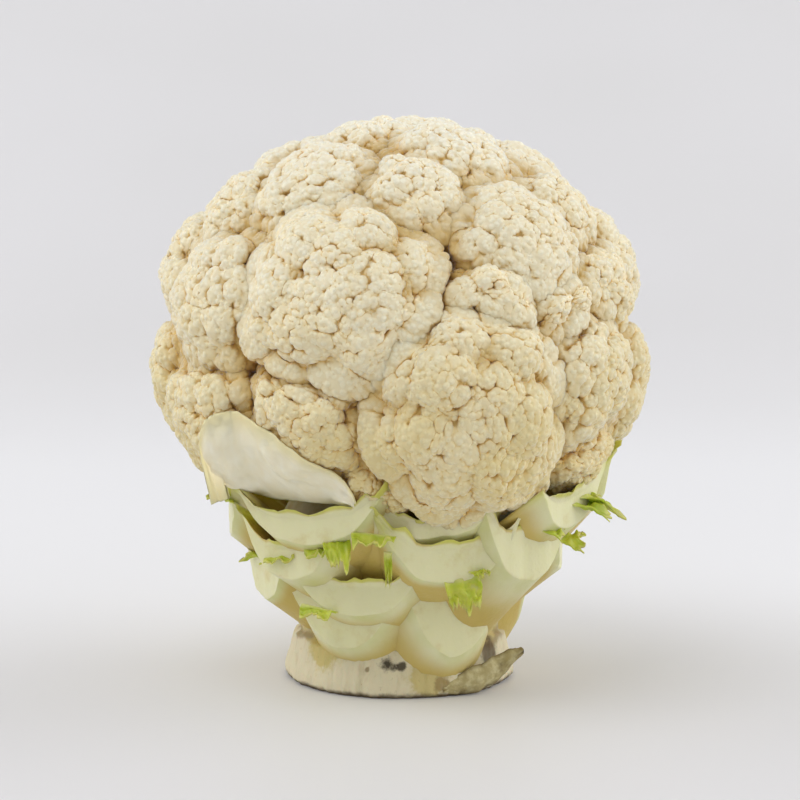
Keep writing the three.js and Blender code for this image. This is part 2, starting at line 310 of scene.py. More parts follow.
@dataclass(frozen=True)
class CurdFinish:
    """Matt, faintly translucent cream, with painted shade that turns it golden and darker in the grooves and
    creases, and painted light that pales it towards the top.
    """

    # below and above: painted shade low on the head and painted light high on it, blended by height from low
    # to high. light: pale patches of real tone and a painted highlight over the crown.
    below: tuple[float, ...] = srgb(227, 212, 156)
    above: tuple[float, ...] = srgb(245, 238, 210)
    light: tuple[float, ...] = srgb(250, 247, 229)
    # The next three colours are painted shade: in the grooves, in the creases, and in the deepest creases and
    # nooks.
    groove_shade: tuple[float, ...] = srgb(203, 172, 96)
    crease_shade: tuple[float, ...] = srgb(206, 172, 96)
    deep: tuple[float, ...] = srgb(168, 124, 54)
    low: float = 70.0 * MM
    high: float = 150.0 * MM
    crown: float = 35.0 * MM
    bead_scale: float = 540.0
    bead_depth: float = 0.45 * MM
    nook_reach: float = 5.0 * MM
    gloss: Gloss = Gloss(0.62, 0.3, 0.65, (1.0, 0.75, 0.45), 2.2 * MM, True, 0.6, 0.45)

    def material(self) -> bpy.types.Material:
        """Build the curd's material.

        Returns:
            The material, which reads the point values lobe, knob, bead and crease.
        """
        shader = Shader("curd")
        patches = shader.spread(shader.noise(38.0, 3.0), 0.35, 0.68, 0.0, 0.3)
        # Painted shade and light: darker and yellower low on the head, paler high on it.
        colour = shader.mix(shader.spread(shader.axis("Z"), self.low, self.high), self.below, self.above)
        # Painted highlight over the crown, mixed with pale patches of real tone.
        top = shader.spread(shader.axis("Z"), self.high, self.high + self.crown)
        colour = shader.mix(shader.maths("MAXIMUM", patches, top), colour, self.light)
        # Painted shade: golden colour in the grooves between lobes, knobs and beads, taken from how low each
        # point lies.
        for name, share in (("bead", 0.25), ("knob", 0.4), ("lobe", 0.6)):
            groove_shade = shader.spread(shader.attribute(name), 0.35, 1.0, 0.0, share)
            colour = shader.mix(groove_shade, colour, self.groove_shade)
        small = shader.grain(self.bead_scale)
        # Painted shade in the fine gaps between the beads' cells.
        colour = shader.mix(shader.spread(small, 0.42, 0.12, 0.0, 0.22), colour, self.groove_shade)
        # Painted shade: golden colour in the creases between florets and on their tucked-in sides.
        crease_shade = shader.spread(shader.attribute("crease_shade"), 0.25, 0.8, 0.0, 0.85)
        colour = shader.mix(crease_shade, colour, self.crease_shade)
        # Painted shade: golden and then deep brown where the surface closes in round a point.
        nook = shader.nook(self.nook_reach)
        colour = shader.mix(shader.spread(nook, 0.25, 0.6, 0.0, 0.8), colour, self.crease_shade)
        colour = shader.mix(shader.spread(nook, 0.6, 0.9, 0.0, 0.8), colour, self.deep)
        # Painted shade: deep brown at the bottom of the deepest creases.
        deep = shader.spread(shader.attribute("crease_shade"), 0.8, 1.1)
        colour = shader.mix(deep, colour, self.deep)
        return shader.finish(colour, self.gloss, shader.bump(small, self.bead_depth))


@dataclass(frozen=True)
class LeafFinish:
    """Waxy leaf base: pale green skin, whiter cut faces and yellow-green thin edges, with painted shade in
    tan over the skin back from the cut and on its upper face.
    """

    skin: tuple[float, ...] = srgb(214, 214, 150)
    skin_light: tuple[float, ...] = srgb(230, 228, 186)
    cut: tuple[float, ...] = srgb(231, 228, 182)
    cut_stain: tuple[float, ...] = srgb(216, 204, 144)
    # Painted shade colour for the tan hollows between the leaves.
    hollow_shade: tuple[float, ...] = srgb(204, 178, 88)
    rim: tuple[float, ...] = srgb(206, 206, 92)
    gloss: Gloss = Gloss(0.42, glow=0.3, glow_colours=(0.8, 1.0, 0.35), glow_depth=2.5 * MM)

    def material(self) -> bpy.types.Material:
        """Build the leaf bases' material.

        Returns:
            The material, which reads the point values cut, upper, rim and root.
        """
        shader = Shader("leaf")
        veins = shader.streaks(260.0, 22.0)
        patches = shader.spread(shader.noise(70.0, 3.0), 0.3, 0.7)
        skin = shader.mix(patches, self.skin, self.skin_light)
        skin = shader.mix(shader.spread(veins, 0.45, 0.75, 0.0, 0.35), skin, self.skin_light)
        # Painted shade: tan over the outer skin back from the cut, and on the upper face.
        skin = shader.mix(shader.spread(shader.attribute("root"), 0.02, 0.2, 0.0, 0.9), skin, self.hollow_shade)
        skin = shader.mix(shader.spread(shader.attribute("upper"), 0.6, 0.9, 0.0, 0.8), skin, self.hollow_shade)
        stain = shader.spread(shader.noise(120.0, 5.0, 0.6), 0.52, 0.75, 0.0, 0.7)
        cut = shader.mix(stain, self.cut, self.cut_stain)
        colour = shader.mix(shader.spread(shader.attribute("cut"), 0.3, 0.7), skin, cut)
        edge = shader.maths("ADD", shader.attribute("rim"), shader.maths("MULTIPLY", patches, 0.3))
        colour = shader.mix(shader.spread(edge, 0.5, 1.05, 0.0, 0.9), colour, self.rim)
        lines = shader.bump(veins, 0.25 * MM)
        return shader.finish(colour, self.gloss, shader.bump(shader.noise(900.0, 4.0), 0.18 * MM, lines))


@dataclass(frozen=True)
class BladeFinish:
    """Thin yellow-green leaf blade, paler towards its root and dry at its torn edge."""

    root: tuple[float, ...] = srgb(222, 224, 150)
    blade: tuple[float, ...] = srgb(196, 204, 72)
    dark: tuple[float, ...] = srgb(166, 180, 36)
    dry: tuple[float, ...] = srgb(214, 206, 120)
    gloss: Gloss = Gloss(0.4, glow=0.4, glow_colours=(0.7, 1.0, 0.15))

    def material(self) -> bpy.types.Material:
        """Build the blade's material.

        Returns:
            The material, which reads the point value reach (0 root, 1 torn edge).
        """
        shader = Shader("blade")
        reach = shader.attribute("reach")
        patches = shader.spread(shader.noise(160.0, 4.0), 0.35, 0.7)
        colour = shader.mix(patches, self.blade, self.dark)
        colour = shader.mix(shader.spread(reach, 0.0, 0.4, 1.0, 0.0), colour, self.root)
        colour = shader.mix(shader.spread(reach, 0.88, 1.0, 0.0, 0.7), colour, self.dry)
        return shader.finish(colour, self.gloss, shader.bump(shader.noise(500.0, 4.0), 0.25 * MM))


@dataclass(frozen=True)
class MembraneFinish:
    """The inner leaf: thin, smooth and pale cream, with faint veins."""

    body: tuple[float, ...] = srgb(241, 233, 202)
    light: tuple[float, ...] = srgb(246, 241, 217)
    edge: tuple[float, ...] = srgb(226, 216, 164)
    gloss: Gloss = Gloss(0.48, 0.3, 0.5, (1.0, 0.8, 0.5), 2.0 * MM, True)

    def material(self) -> bpy.types.Material:
        """Build the inner leaf's material.

        Returns:
            The material, which reads the point value edge.
        """
        shader = Shader("inner_leaf")
        veins = shader.streaks(190.0, 26.0)
        colour = shader.mix(shader.spread(veins, 0.35, 0.7), self.body, self.light)
        colour = shader.mix(shader.spread(shader.attribute("edge"), 0.75, 1.0, 0.0, 0.8), colour, self.edge)
        return shader.finish(colour, self.gloss, shader.bump(veins, 0.15 * MM))


@dataclass(frozen=True)
class CorkFinish:
    """The stump: smooth cream skin above, scratched off-white cork with a dirty patch at the foot, and a
    painted contact shadow darkening its bottom edge.
    """

    skin: tuple[float, ...] = srgb(214, 204, 160)
    skin_tan: tuple[float, ...] = srgb(196, 176, 110)
    cork: tuple[float, ...] = srgb(222, 212, 180)
    cork_dark: tuple[float, ...] = srgb(184, 168, 124)
    yellow: tuple[float, ...] = srgb(196, 178, 100)
    brown: tuple[float, ...] = srgb(128, 100, 56)
    # A dark soil colour for the dirty patch, also used for the painted contact shadow along the bottom edge.
    dirt_and_contact_shadow: tuple[float, ...] = srgb(84, 66, 40)
    mould: tuple[float, ...] = srgb(58, 50, 36)
    ledge: float = 16.0 * MM
    gloss: Gloss = Gloss(0.75, 0.3, 0.15)

    def material(self) -> bpy.types.Material:
        """Build the stump's material.

        Returns:
            The material.
        """
        shader = Shader("stem")
        height = shader.axis("Z")
        wander = shader.maths("MULTIPLY", shader.maths("SUBTRACT", shader.noise(45.0, 4.0), 0.5), 14.0 * MM)
        level = shader.maths("ADD", height, wander)
        patches = shader.spread(shader.noise(60.0, 5.0, 0.6), 0.35, 0.7)
        skin = shader.mix(patches, self.skin, self.skin_tan)
        scratches = shader.streaks(420.0, 60.0)
        fine = shader.noise(380.0, 6.0, 0.65)
        cork = shader.mix(shader.spread(scratches, 0.5, 0.85, 0.0, 0.5), self.cork, self.cork_dark)
        cork = shader.mix(shader.spread(fine, 0.58, 0.75, 0.0, 0.6), cork, self.cork_dark)
        foot = shader.spread(level, self.ledge - 1.5 * MM, self.ledge + 1.5 * MM, 1.0, 0.0)
        colour = shader.mix(foot, skin, cork)
        seam = shader.maths("ABSOLUTE", shader.maths("SUBTRACT", level, self.ledge))
        colour = shader.mix(shader.spread(seam, 0.3 * MM, 2.2 * MM, 0.55, 0.0), colour, self.brown)
        for centre, radius, shade, share in (
            ((-25.0, -26.0, 15.0), 9.0, self.yellow, 0.8),
            ((9.0, -35.0, 5.5), 7.0, self.yellow, 0.7),
            ((13.0, -34.0, 4.0), 3.2, self.brown, 0.6),
            ((-4.0, -36.0, 10.8), 3.0, self.mould, 0.95),
            ((0.5, -36.0, 10.3), 1.6, self.mould, 0.9),
            ((-10.5, -34.5, 9.0), 1.0, self.brown, 0.7),
            ((-15.5, -32.5, 12.5), 0.9, self.brown, 0.7),
            ((17.0, -31.5, 13.5), 1.1, self.brown, 0.7),
            ((29.5, -20.5, 12.0), 5.5, self.dirt_and_contact_shadow, 0.8),
            ((-20.0, 29.0, 9.0), 3.0, self.mould, 0.9),
            ((34.0, 9.0, 12.0), 6.0, self.yellow, 0.7),
        ):
            spot = shader.spot(centre, radius * MM, 0.35 * radius * MM)
            colour = shader.mix(shader.maths("MULTIPLY", spot, share), colour, shade)
        specks = shader.spread(shader.noise(700.0, 2.0), 0.72, 0.8, 0.0, 0.7)
        colour = shader.mix(shader.maths("MULTIPLY", specks, foot), colour, self.brown)
        # Painted contact shadow: the bottom few millimetres darkened, with a wandering upper edge.
        contact_shadow = shader.maths("ADD", height, shader.maths("MULTIPLY", shader.noise(260.0, 5.0), -3.5 * MM))
        colour = shader.mix(shader.spread(contact_shadow, -1.6 * MM, 0.6 * MM, 0.9, 0.0), colour, self.dirt_and_contact_shadow)
        cuts = shader.bump(shader.maths("MULTIPLY", scratches, foot), 0.7 * MM)
        return shader.finish(colour, self.gloss, shader.bump(fine, 0.35 * MM, cuts))


@dataclass(frozen=True)
class PeelFinish:
    """Dry olive-tan skin, dark in patches and along its torn edge."""

    body: tuple[float, ...] = srgb(180, 166, 116)
    dark: tuple[float, ...] = srgb(110, 92, 50)
    light: tuple[float, ...] = srgb(206, 196, 150)
    gloss: Gloss = Gloss(0.8)

    def material(self) -> bpy.types.Material:
        """Build the peel's material.

        Returns:
            The material, which reads the point value edge.
        """
        shader = Shader("skin")
        fibres = shader.noise(330.0, 6.0, 0.65)
        colour = shader.mix(shader.spread(fibres, 0.4, 0.65), self.body, self.light)
        colour = shader.mix(shader.spread(shader.noise(120.0, 4.0), 0.5, 0.72, 0.0, 0.8), colour, self.dark)
        colour = shader.mix(shader.spread(shader.attribute("edge"), 0.8, 1.0, 0.0, 0.6), colour, self.dark)
        return shader.finish(colour, self.gloss, shader.bump(fibres, 0.5 * MM))


# ------------------------------------------------------------------ meshes


def cad_copy(node: str) -> bmesh.types.BMesh:
    """Copy a frame node's shape with its loose triangles joined.

    Args:
        node: The node's name.

    Returns:
        A welded bmesh, to be freed by the caller.
    """
    form = bmesh.new()
    form.from_mesh(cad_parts[node].data)
    bmesh.ops.remove_doubles(form, verts=form.verts, dist=0.01 * MM)
    return form


def coordinates(mesh: bpy.types.Mesh) -> np.ndarray:
    """Read a mesh's points as rows of x, y, z."""
    points = np.empty(len(mesh.vertices) * 3, dtype=np.float32)
    mesh.vertices.foreach_get("co", points)
    return points.reshape(-1, 3).astype(float)


def point_normals(mesh: bpy.types.Mesh) -> np.ndarray:
    """Read a mesh's smooth normals, one row to a point."""
    normals = np.empty(len(mesh.vertices) * 3, dtype=np.float32)
    mesh.vertex_normals.foreach_get("vector", normals)
    return normals.reshape(-1, 3).astype(float)


def write_coordinates(mesh: bpy.types.Mesh, points: np.ndarray) -> None:
    """Give a mesh new places for its points."""
    mesh.vertices.foreach_set("co", points.astype(np.float32).ravel())
    mesh.update()


def write_value(mesh: bpy.types.Mesh, name: str, values: np.ndarray) -> None:
    """Store one number on each point for the material to read."""
    layer = mesh.attributes.new(name, "FLOAT", "POINT")
    layer.data.foreach_set("value", values.astype(np.float32))


def add_object(name: str, mesh: bpy.types.Mesh) -> bpy.types.Object:
    """Put a mesh in the scene under a name, smooth shaded."""
    piece = bpy.data.objects.new(name, mesh)
    bpy.context.scene.collection.objects.link(piece)
    mesh.polygons.foreach_set("use_smooth", [True] * len(mesh.polygons))
    return piece


def finer(mesh: bpy.types.Mesh, levels: int) -> bpy.types.Mesh:
    """Round a cage with Subdivision Surface and return the fine mesh.

    Args:
        mesh: The cage, which is used up.
        levels: How many times each face is split.

    Returns:
        The fine mesh.
    """
    holder = add_object("cage", mesh)
    rounding = holder.modifiers.new("rounding", "SUBSURF")
    rounding.levels = levels
    rounding.render_levels = levels
    graph = bpy.context.evaluated_depsgraph_get()
    result = bpy.data.meshes.new_from_object(holder.evaluated_get(graph))
    bpy.data.objects.remove(holder)
    return result


def install(piece: bpy.types.Object, node: str, slot: Slot, material: bpy.types.Material) -> None:
    """Tie a finished piece to the frame and give it its finish.

    Args:
        piece: The finished piece.
        node: The frame node that it stands for.
        slot: The record's slot for its finish; not used.
        material: Its material.
    """
    piece.data.materials.clear()
    piece.data.materials.append(material)
    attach(piece, "root")
    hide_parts(node)
    LOG.info("%s: %d faces", piece.name, len(piece.data.polygons))


# ------------------------------------------------------------------ the curd


@dataclass(frozen=True)
class Spiral:
    """A golden-angle spiral of seeds on a dome, tight in the middle and wider outwards.

    Attributes:
        count: How many seeds.
        reach: The angle of the last seed from the dome's axis, in radians.
        spread_power: 0.5 keeps seeds evenly spaced; more makes the middle tighter.
    """

    count: int
    reach: float
    spread_power: float

    def angles(self, turn: float) -> tuple[np.ndarray, np.ndarray]:
        """Work out the seeds' angles.

        Args:
            turn: Where the spiral starts, in radians.

        Returns:
            The angles off the axis and round it.
        """
        steps = np.arange(self.count) + 0.5
        return self.reach * (steps / self.count) ** self.spread_power, steps * GOLDEN_ANGLE + turn

    def spacing(self, off_axis: np.ndarray) -> np.ndarray:
        """The distance between neighbouring seeds on a unit dome at each angle off the axis."""
        share = off_axis / self.reach
        rate = self.reach * self.spread_power * share ** (1.0 - 1.0 / self.spread_power) / self.count
        return np.sqrt(2.0 * math.pi * np.sin(np.minimum(off_axis, math.pi / 2)) * rate)


def sideways(axis: Vector) -> tuple[Vector, Vector]:
    """Two unit vectors square to an axis and to each other."""
    across = axis.cross(Vector((0.31, 0.17, 0.93))).normalized()
    return across, axis.cross(across)


@dataclass(frozen=True)
class CurdOutline:
    """The ball that the florets fill together, flatter below than above."""

    radius: float = 82.5 * MM
    middle: float = 112.0 * MM
    crown: float = 74.5 * MM
    underside: float = 62.0 * MM
    round_power: float = 2.0
    flat_power: float = 2.6

    def share(self, points: np.ndarray) -> np.ndarray:
        """How far out each point lies: 1 on the outline, less inside it."""
        above = points[:, 2] > self.middle
        power = np.where(above, self.round_power, self.flat_power)
        half = np.where(above, self.crown, self.underside)
        across = np.hypot(points[:, 0], points[:, 1]) / self.radius
        up = np.abs(points[:, 2] - self.middle) / half
        return (across ** power + up ** power) ** (1.0 / power)

    def distance(self, rays: np.ndarray) -> np.ndarray:
        """Distance from the heart to the outline along each unit ray."""
        near = np.zeros(len(rays))
        far = np.full(len(rays), 2.0 * self.radius)
        for _ in range(24):
            middle = (near + far) / 2.0
            inside = self.share(rays * middle[:, None] + np.array(HEART)) < 1.0
            near = np.where(inside, middle, near)
            far = np.where(inside, far, middle)
        return near


OUTLINE = CurdOutline()


class PointField:
    """A set of points with quick searches between them."""

    def __init__(self, points: np.ndarray) -> None:
        """Sort the points for searching.

        Args:
            points: Rows of x, y, z.
        """
        self.points = points
        self.tree = kdtree.KDTree(len(points))
        for index, point in enumerate(points):
            self.tree.insert(point, index)
        self.tree.balance()

    def scatter(self, allowed: np.ndarray, spacing: np.ndarray, draw: np.random.Generator) -> np.ndarray:
        """Pick points that stay clear of one another.

        Args:
            allowed: Which points may be picked.
            spacing: The clear distance round each point.
            draw: The seeded draws that set the order.

        Returns:
            The picked points' indices.
        """
        covered = ~allowed
        picked = []
        for index in draw.permutation(len(self.points)):
            if covered[index]:
                continue
            picked.append(index)
            covered[[found[1] for found in self.tree.find_range(self.points[index], spacing[index])]] = True
        return np.array(picked)

    def swell(self, seeds: np.ndarray, radii: np.ndarray, plumpness: float, even: float) -> np.ndarray:
        """Height of the highest of many cushions over each point.

        Args:
            seeds: The cushions' centres.
            radii: Their radii.
            plumpness: 2 for balls; more for flatter tops and narrower grooves.
            even: The share by which small cushions are lifted to the large ones' height.

        Returns:
            The heights, 0 where no cushion reaches.
        """
        heights = np.zeros(len(self.points))
        tallest = float(np.percentile(radii, 80))
        for seed, radius in zip(seeds, radii):
            found = self.tree.find_range(seed, radius)
            if not found:
                continue
            index = [item[1] for item in found]
            share = np.array([item[2] for item in found]) / radius
            rise = radius * (1.0 - np.minimum(share, 1.0) ** plumpness) ** (1.0 / plumpness)
            rise += even * max(tallest - radius, 0.0) * np.minimum(1.0, 3.0 * (1.0 - share))
            heights[index] = np.maximum(heights[index], rise)
        return heights


@dataclass(frozen=True)
class BudSize:
    """How far apart buds of one order grow, and how round they stand.

    Attributes:
        middle: Spacing in the middle of a floret.
        rim: Spacing at its rim.
        fullness: Each bud's radius over its spacing.
        amount: How much of the bud's height is kept.
        shyness: The share of the surface, next to the grooves, where no bud starts.
        plumpness: 2 for balls; more for flatter tops and narrower grooves.
    """

    middle: float
    rim: float
    fullness: float
    amount: float
    shyness: float
    plumpness: float


@dataclass
class FloretHead:
    """One branch of the curd: a dome of lobes, each a dome of knobs, each a cluster of beads.

    Attributes:
        node: The frame node that it stands for.
        seed: Fixes the draws that make it differ from its neighbours.
        cage_cuts: Faces along each edge of the starting block.
        rounding_levels: How many times the cage is split.
        lobe_share: The distance between lobes over the head's half width.
        lobe_limits: The least and greatest distance between lobes.
        lobe_amount: How much of a lobe's height is kept.
        lobe_depth: How deep the grooves between lobes may reach.
        lobe_plumpness: 2 for round lobes; more for flatter ones.
        lobe_evenness: The share by which small lobes are lifted to the large ones' height.
        knobs: The second order of buds.
        beads: The third order of buds.
        flush: The share of the finished surface that lies inside the frame's solid.
        droop: How far its lower side sags.
        head_share: The solid's part beyond this share of its length is the head; the rest is stalk.
        width_share: The head's half width over the root mean square of its spread.
        least_depth: The least distance from the head's top to its middle.
        outer_bias: How strongly the mesh is gathered on the outer side; 1 for evenly.
        rim_angle: How far off its axis, seen from the middle, its rim lies.
        spiral_turn: How far off the axis the lobes reach.
        spiral_power: How the lobes' spacing grows away from the axis.
        least_pull: The share of the drawing back that is kept on walls that face neighbours.
    """

    node: str
    seed: int
    cage_cuts: int = 8
    rounding_levels: int = 3
    lobe_share: float = 0.5
    lobe_limits: tuple[float, float] = (10.0 * MM, 16.5 * MM)
    lobe_amount: float = 0.8
    lobe_depth: float = 5.0 * MM
    lobe_plumpness: float = 2.3
    lobe_evenness: float = 0.8
    knobs: BudSize = BudSize(3.8 * MM, 6.2 * MM, 0.8, 0.32, 0.05, 2.2)
    beads: BudSize = BudSize(1.8 * MM, 2.3 * MM, 0.8, 0.4, 0.08, 2.0)
    flush: float = 77.0
    droop: float = 0.0

    head_share = 0.62
    width_share = 1.35
    least_depth = 14.0 * MM
    outer_bias = 1.3
    rim_angle = math.radians(75)
    spiral_turn = math.radians(128)
    spiral_power = 0.58
    least_pull = 0.6

    def measure(self, solid: bmesh.types.BMesh) -> None:
        """Find the head's axis, half width, top and middle from the frame's solid."""
        places = [v.co - HEART for v in solid.verts]
        self.top = max(p.length for p in places)
        heads = [p for p in places if p.length > self.head_share * self.top]
        self.axis = sum(heads, Vector()).normalized()
        spread = sum((p - p.dot(self.axis) * self.axis).length_squared for p in heads)
        self.width = math.sqrt(spread / len(heads)) * self.width_share
        self.centre = HEART + self.axis * (self.top - max(0.8 * self.width, self.least_depth))

    def base(self) -> bpy.types.Mesh:
        """Wrap a rounded block on to the head of the frame's solid.

        Returns:
            A smooth, even mesh on the solid's surface, finest on its outer side.
        """
        solid = cad_copy(self.node)
        self.measure(solid)
        hull = bmesh.new()
        for vert in solid.verts:
            hull.verts.new(vert.co)
        solid.free()
        bmesh.ops.convex_hull(hull, input=hull.verts)
        tree = BVHTree.FromBMesh(hull)
        hull.free()
        turn = self.axis.to_track_quat("Z", "Y")
        cage = bmesh.new()
        bmesh.ops.create_cube(cage, size=2.0)
        bmesh.ops.subdivide_edges(cage, edges=cage.edges, cuts=self.cage_cuts - 1, use_grid_fill=True)
        for vert in cage.verts:
            ray = Vector(math.tan(c * math.pi / 4) for c in vert.co).normalized()
            off_axis = math.pi * (math.acos(max(-1.0, min(1.0, ray.z))) / math.pi) ** self.outer_bias
            flat = Vector((ray.x, ray.y, 0.0))
            flat = flat.normalized() if flat.length > 1e-6 else Vector()
            ray = turn @ (flat * math.sin(off_axis) + Vector((0.0, 0.0, math.cos(off_axis))))
            hit, _, _, distance = tree.ray_cast(self.centre, ray)
            reach = min(distance if hit else 10 * MM, 1.5 * self.width)
            vert.co = self.centre + ray * max(reach, 4 * MM)
        bmesh.ops.smooth_vert(cage, verts=cage.verts, factor=0.5,
                              use_axis_x=True, use_axis_y=True, use_axis_z=True)
        mesh = bpy.data.meshes.new(self.node)
        cage.to_mesh(mesh)
        cage.free()
        return finer(mesh, self.rounding_levels)

    def lobes(self, points: np.ndarray) -> tuple[np.ndarray, np.ndarray]:
        """Lay lobe seeds over the smooth base, small in its middle and large at its rim.

        Args:
            points: The base's points.

        Returns:
            Seed places and the lobes' radii.
        """
        draw = np.random.default_rng(self.seed)
        lobe_size = min(max(self.lobe_share * self.width, self.lobe_limits[0]), self.lobe_limits[1])
        area = 2.0 * math.pi * self.width ** 2 * 1.6
        spiral = Spiral(max(8, int(area / lobe_size ** 2)), self.spiral_turn, self.spiral_power)
        off, round_axis = spiral.angles(draw.uniform(0, 2 * math.pi))
        size = spiral.spacing(off) * self.width
        off = off + draw.normal(0, 0.06, len(off))
        round_axis = round_axis + draw.normal(0, 0.14, len(off)) / np.maximum(np.sin(off), 0.3)
        across, beside = sideways(self.axis)
        rays = (np.cos(off)[:, None] * np.array(self.axis)
                + (np.sin(off) * np.cos(round_axis))[:, None] * np.array(across)
                + (np.sin(off) * np.sin(round_axis))[:, None] * np.array(beside))
        away = points - np.array(self.centre)
        away /= np.linalg.norm(away, axis=1)[:, None]
        nearest = np.argmax(rays @ away.T, axis=1)
        radii = np.clip(size * draw.uniform(0.58, 0.76, len(off)), 0.48 * lobe_size, 0.8 * lobe_size)
        return points[nearest], radii

    def grow(self, mesh: bpy.types.Mesh, points: np.ndarray, height: np.ndarray, size: BudSize,
             order: int) -> tuple[np.ndarray, np.ndarray]:
        """Grow one order of buds out of a surface.

        Args:
            mesh: The mesh, whose points are moved.
            points: Its present points.
            height: How high the order below stands at each point.
            size: The buds' size.
            order: Its number, which fixes the draws.

        Returns:
            The new points and the buds' height at each.
        """
        draw = np.random.default_rng(self.seed + 1000 * order)
        normals = point_normals(mesh)
        away = points - np.array(self.centre)
        away /= np.linalg.norm(away, axis=1)[:, None]
        off_axis = np.arccos(np.clip(away @ np.array(self.axis), -1, 1))
        share = np.clip(off_axis / self.rim_angle, 0, 1)
        spacing = (size.middle + (size.rim - size.middle) * share) * draw.uniform(0.8, 1.25, len(points))
        field = PointField(points)
        picked = field.scatter(height > np.percentile(height, 100 * size.shyness), spacing, draw)
        rise = field.swell(points[picked], spacing[picked] * size.fullness, size.plumpness, 0.5)
        grown = points + normals * (rise * size.amount)[:, None]
        write_coordinates(mesh, grown)
        return grown, rise

    def build(self, material: bpy.types.Material) -> bpy.types.Object:
        """Model the head and dress it.

        Args:
            material: The curd's finish.

        Returns:
            The finished piece.
        """
        mesh = self.base()
        start = coordinates(mesh)
        out = point_normals(mesh)
        rise = PointField(start).swell(*self.lobes(start), self.lobe_plumpness, self.lobe_evenness)
        tall = float(np.percentile(rise, 90))
        short = (tall - rise) / self.lobe_depth
        rise = tall - self.lobe_depth * np.where(short > 0, np.tanh(short), short)
        points = start + out * (self.lobe_amount * rise)[:, None]
        write_coordinates(mesh, points)
        points, knob = self.grow(mesh, points, rise, self.knobs, 1)
        points, bead = self.grow(mesh, points, knob, self.beads, 2)
        swelling = np.einsum("ij,ij->i", points - start, out)
        away = start - np.array(HEART)
        facing = np.einsum("ij,ij->i", out, away / np.linalg.norm(away, axis=1)[:, None])
        pull = np.clip((facing + 0.3) / 0.9, self.least_pull, 1.0)
        points = points - out * (np.percentile(swelling, self.flush) * pull)[:, None]
        below = np.clip((self.centre.z - points[:, 2]) / self.width, 0, 1)
        points[:, 2] -= self.droop * below ** 0.4
        write_coordinates(mesh, points)
        # How low each point lies in the grooves of lobes, knobs and beads, used only for painted shade.
        write_value(mesh, "lobe", (np.percentile(rise, 88) - rise) / self.lobe_depth)
        for name, height in (("knob", knob), ("bead", bead)):
            write_value(mesh, name, 1.0 - height / np.percentile(height, 88))
        # How deep each point lies under the curd's outline and how far it faces away, used only for painted
        # shade in the creases.
        depth = (1.0 - OUTLINE.share(points)) * OUTLINE.radius
        tucked = 0.75 * np.clip((0.5 - facing) / 0.45, 0, 1)
        write_value(mesh, "crease_shade", np.maximum(tucked, np.clip((depth - 2 * MM) / (10 * MM), 0, 1.5)))
        piece = add_object(self.node + "_beaded", mesh)
        install(piece, self.node, Slot.CURD, material)
        return piece


# ------------------------------------------------------------------ the leaf bases


def heading(azimuth: np.ndarray | float, elevation: np.ndarray | float = 0.0) -> np.ndarray:
    """Unit rows that point along azimuths (from -Y towards +X) and elevations, in degrees."""
    a, e = np.broadcast_arrays(np.radians(azimuth), np.radians(elevation))
    return np.stack((np.cos(e) * np.sin(a), -np.cos(e) * np.cos(a), np.sin(e)), axis=-1)


def wave(values: np.ndarray, seed: float, octaves: int = 3) -> np.ndarray:
    """Smooth seeded noise along a line, about -1 to 1."""
    return np.array([fractal(float(v), seed, 0.5 * seed, octaves) for v in values])


def fractal(x: float, y: float, z: float, octaves: int = 3) -> float:
    """Smooth noise at a place, about -1 to 1."""
    return noise.fractal(Vector((x, y, z)), 1.0, 2.0, octaves)


def set_points(form: bmesh.types.BMesh, points: np.ndarray) -> None:
    """Move a form's vertices to rows of x, y, z."""
    for vert, point in zip(form.verts, points):
        vert.co = point


def closed_mesh(form: bmesh.types.BMesh, name: str) -> bpy.types.Mesh:
    """Turn a closed form's faces outward and make a mesh of it; the form is used up."""
    bmesh.ops.recalc_face_normals(form, faces=form.faces)
    mesh = bpy.data.meshes.new(name)
    form.to_mesh(mesh)
    form.free()
    return mesh


def block(cuts: int) -> bmesh.types.BMesh:
    """A block of side 2 with evenly split faces, to be mapped into a shape."""
    form = bmesh.new()
    bmesh.ops.create_cube(form, size=2.0)
    bmesh.ops.subdivide_edges(form, edges=form.edges, cuts=cuts, use_grid_fill=True)
    return form


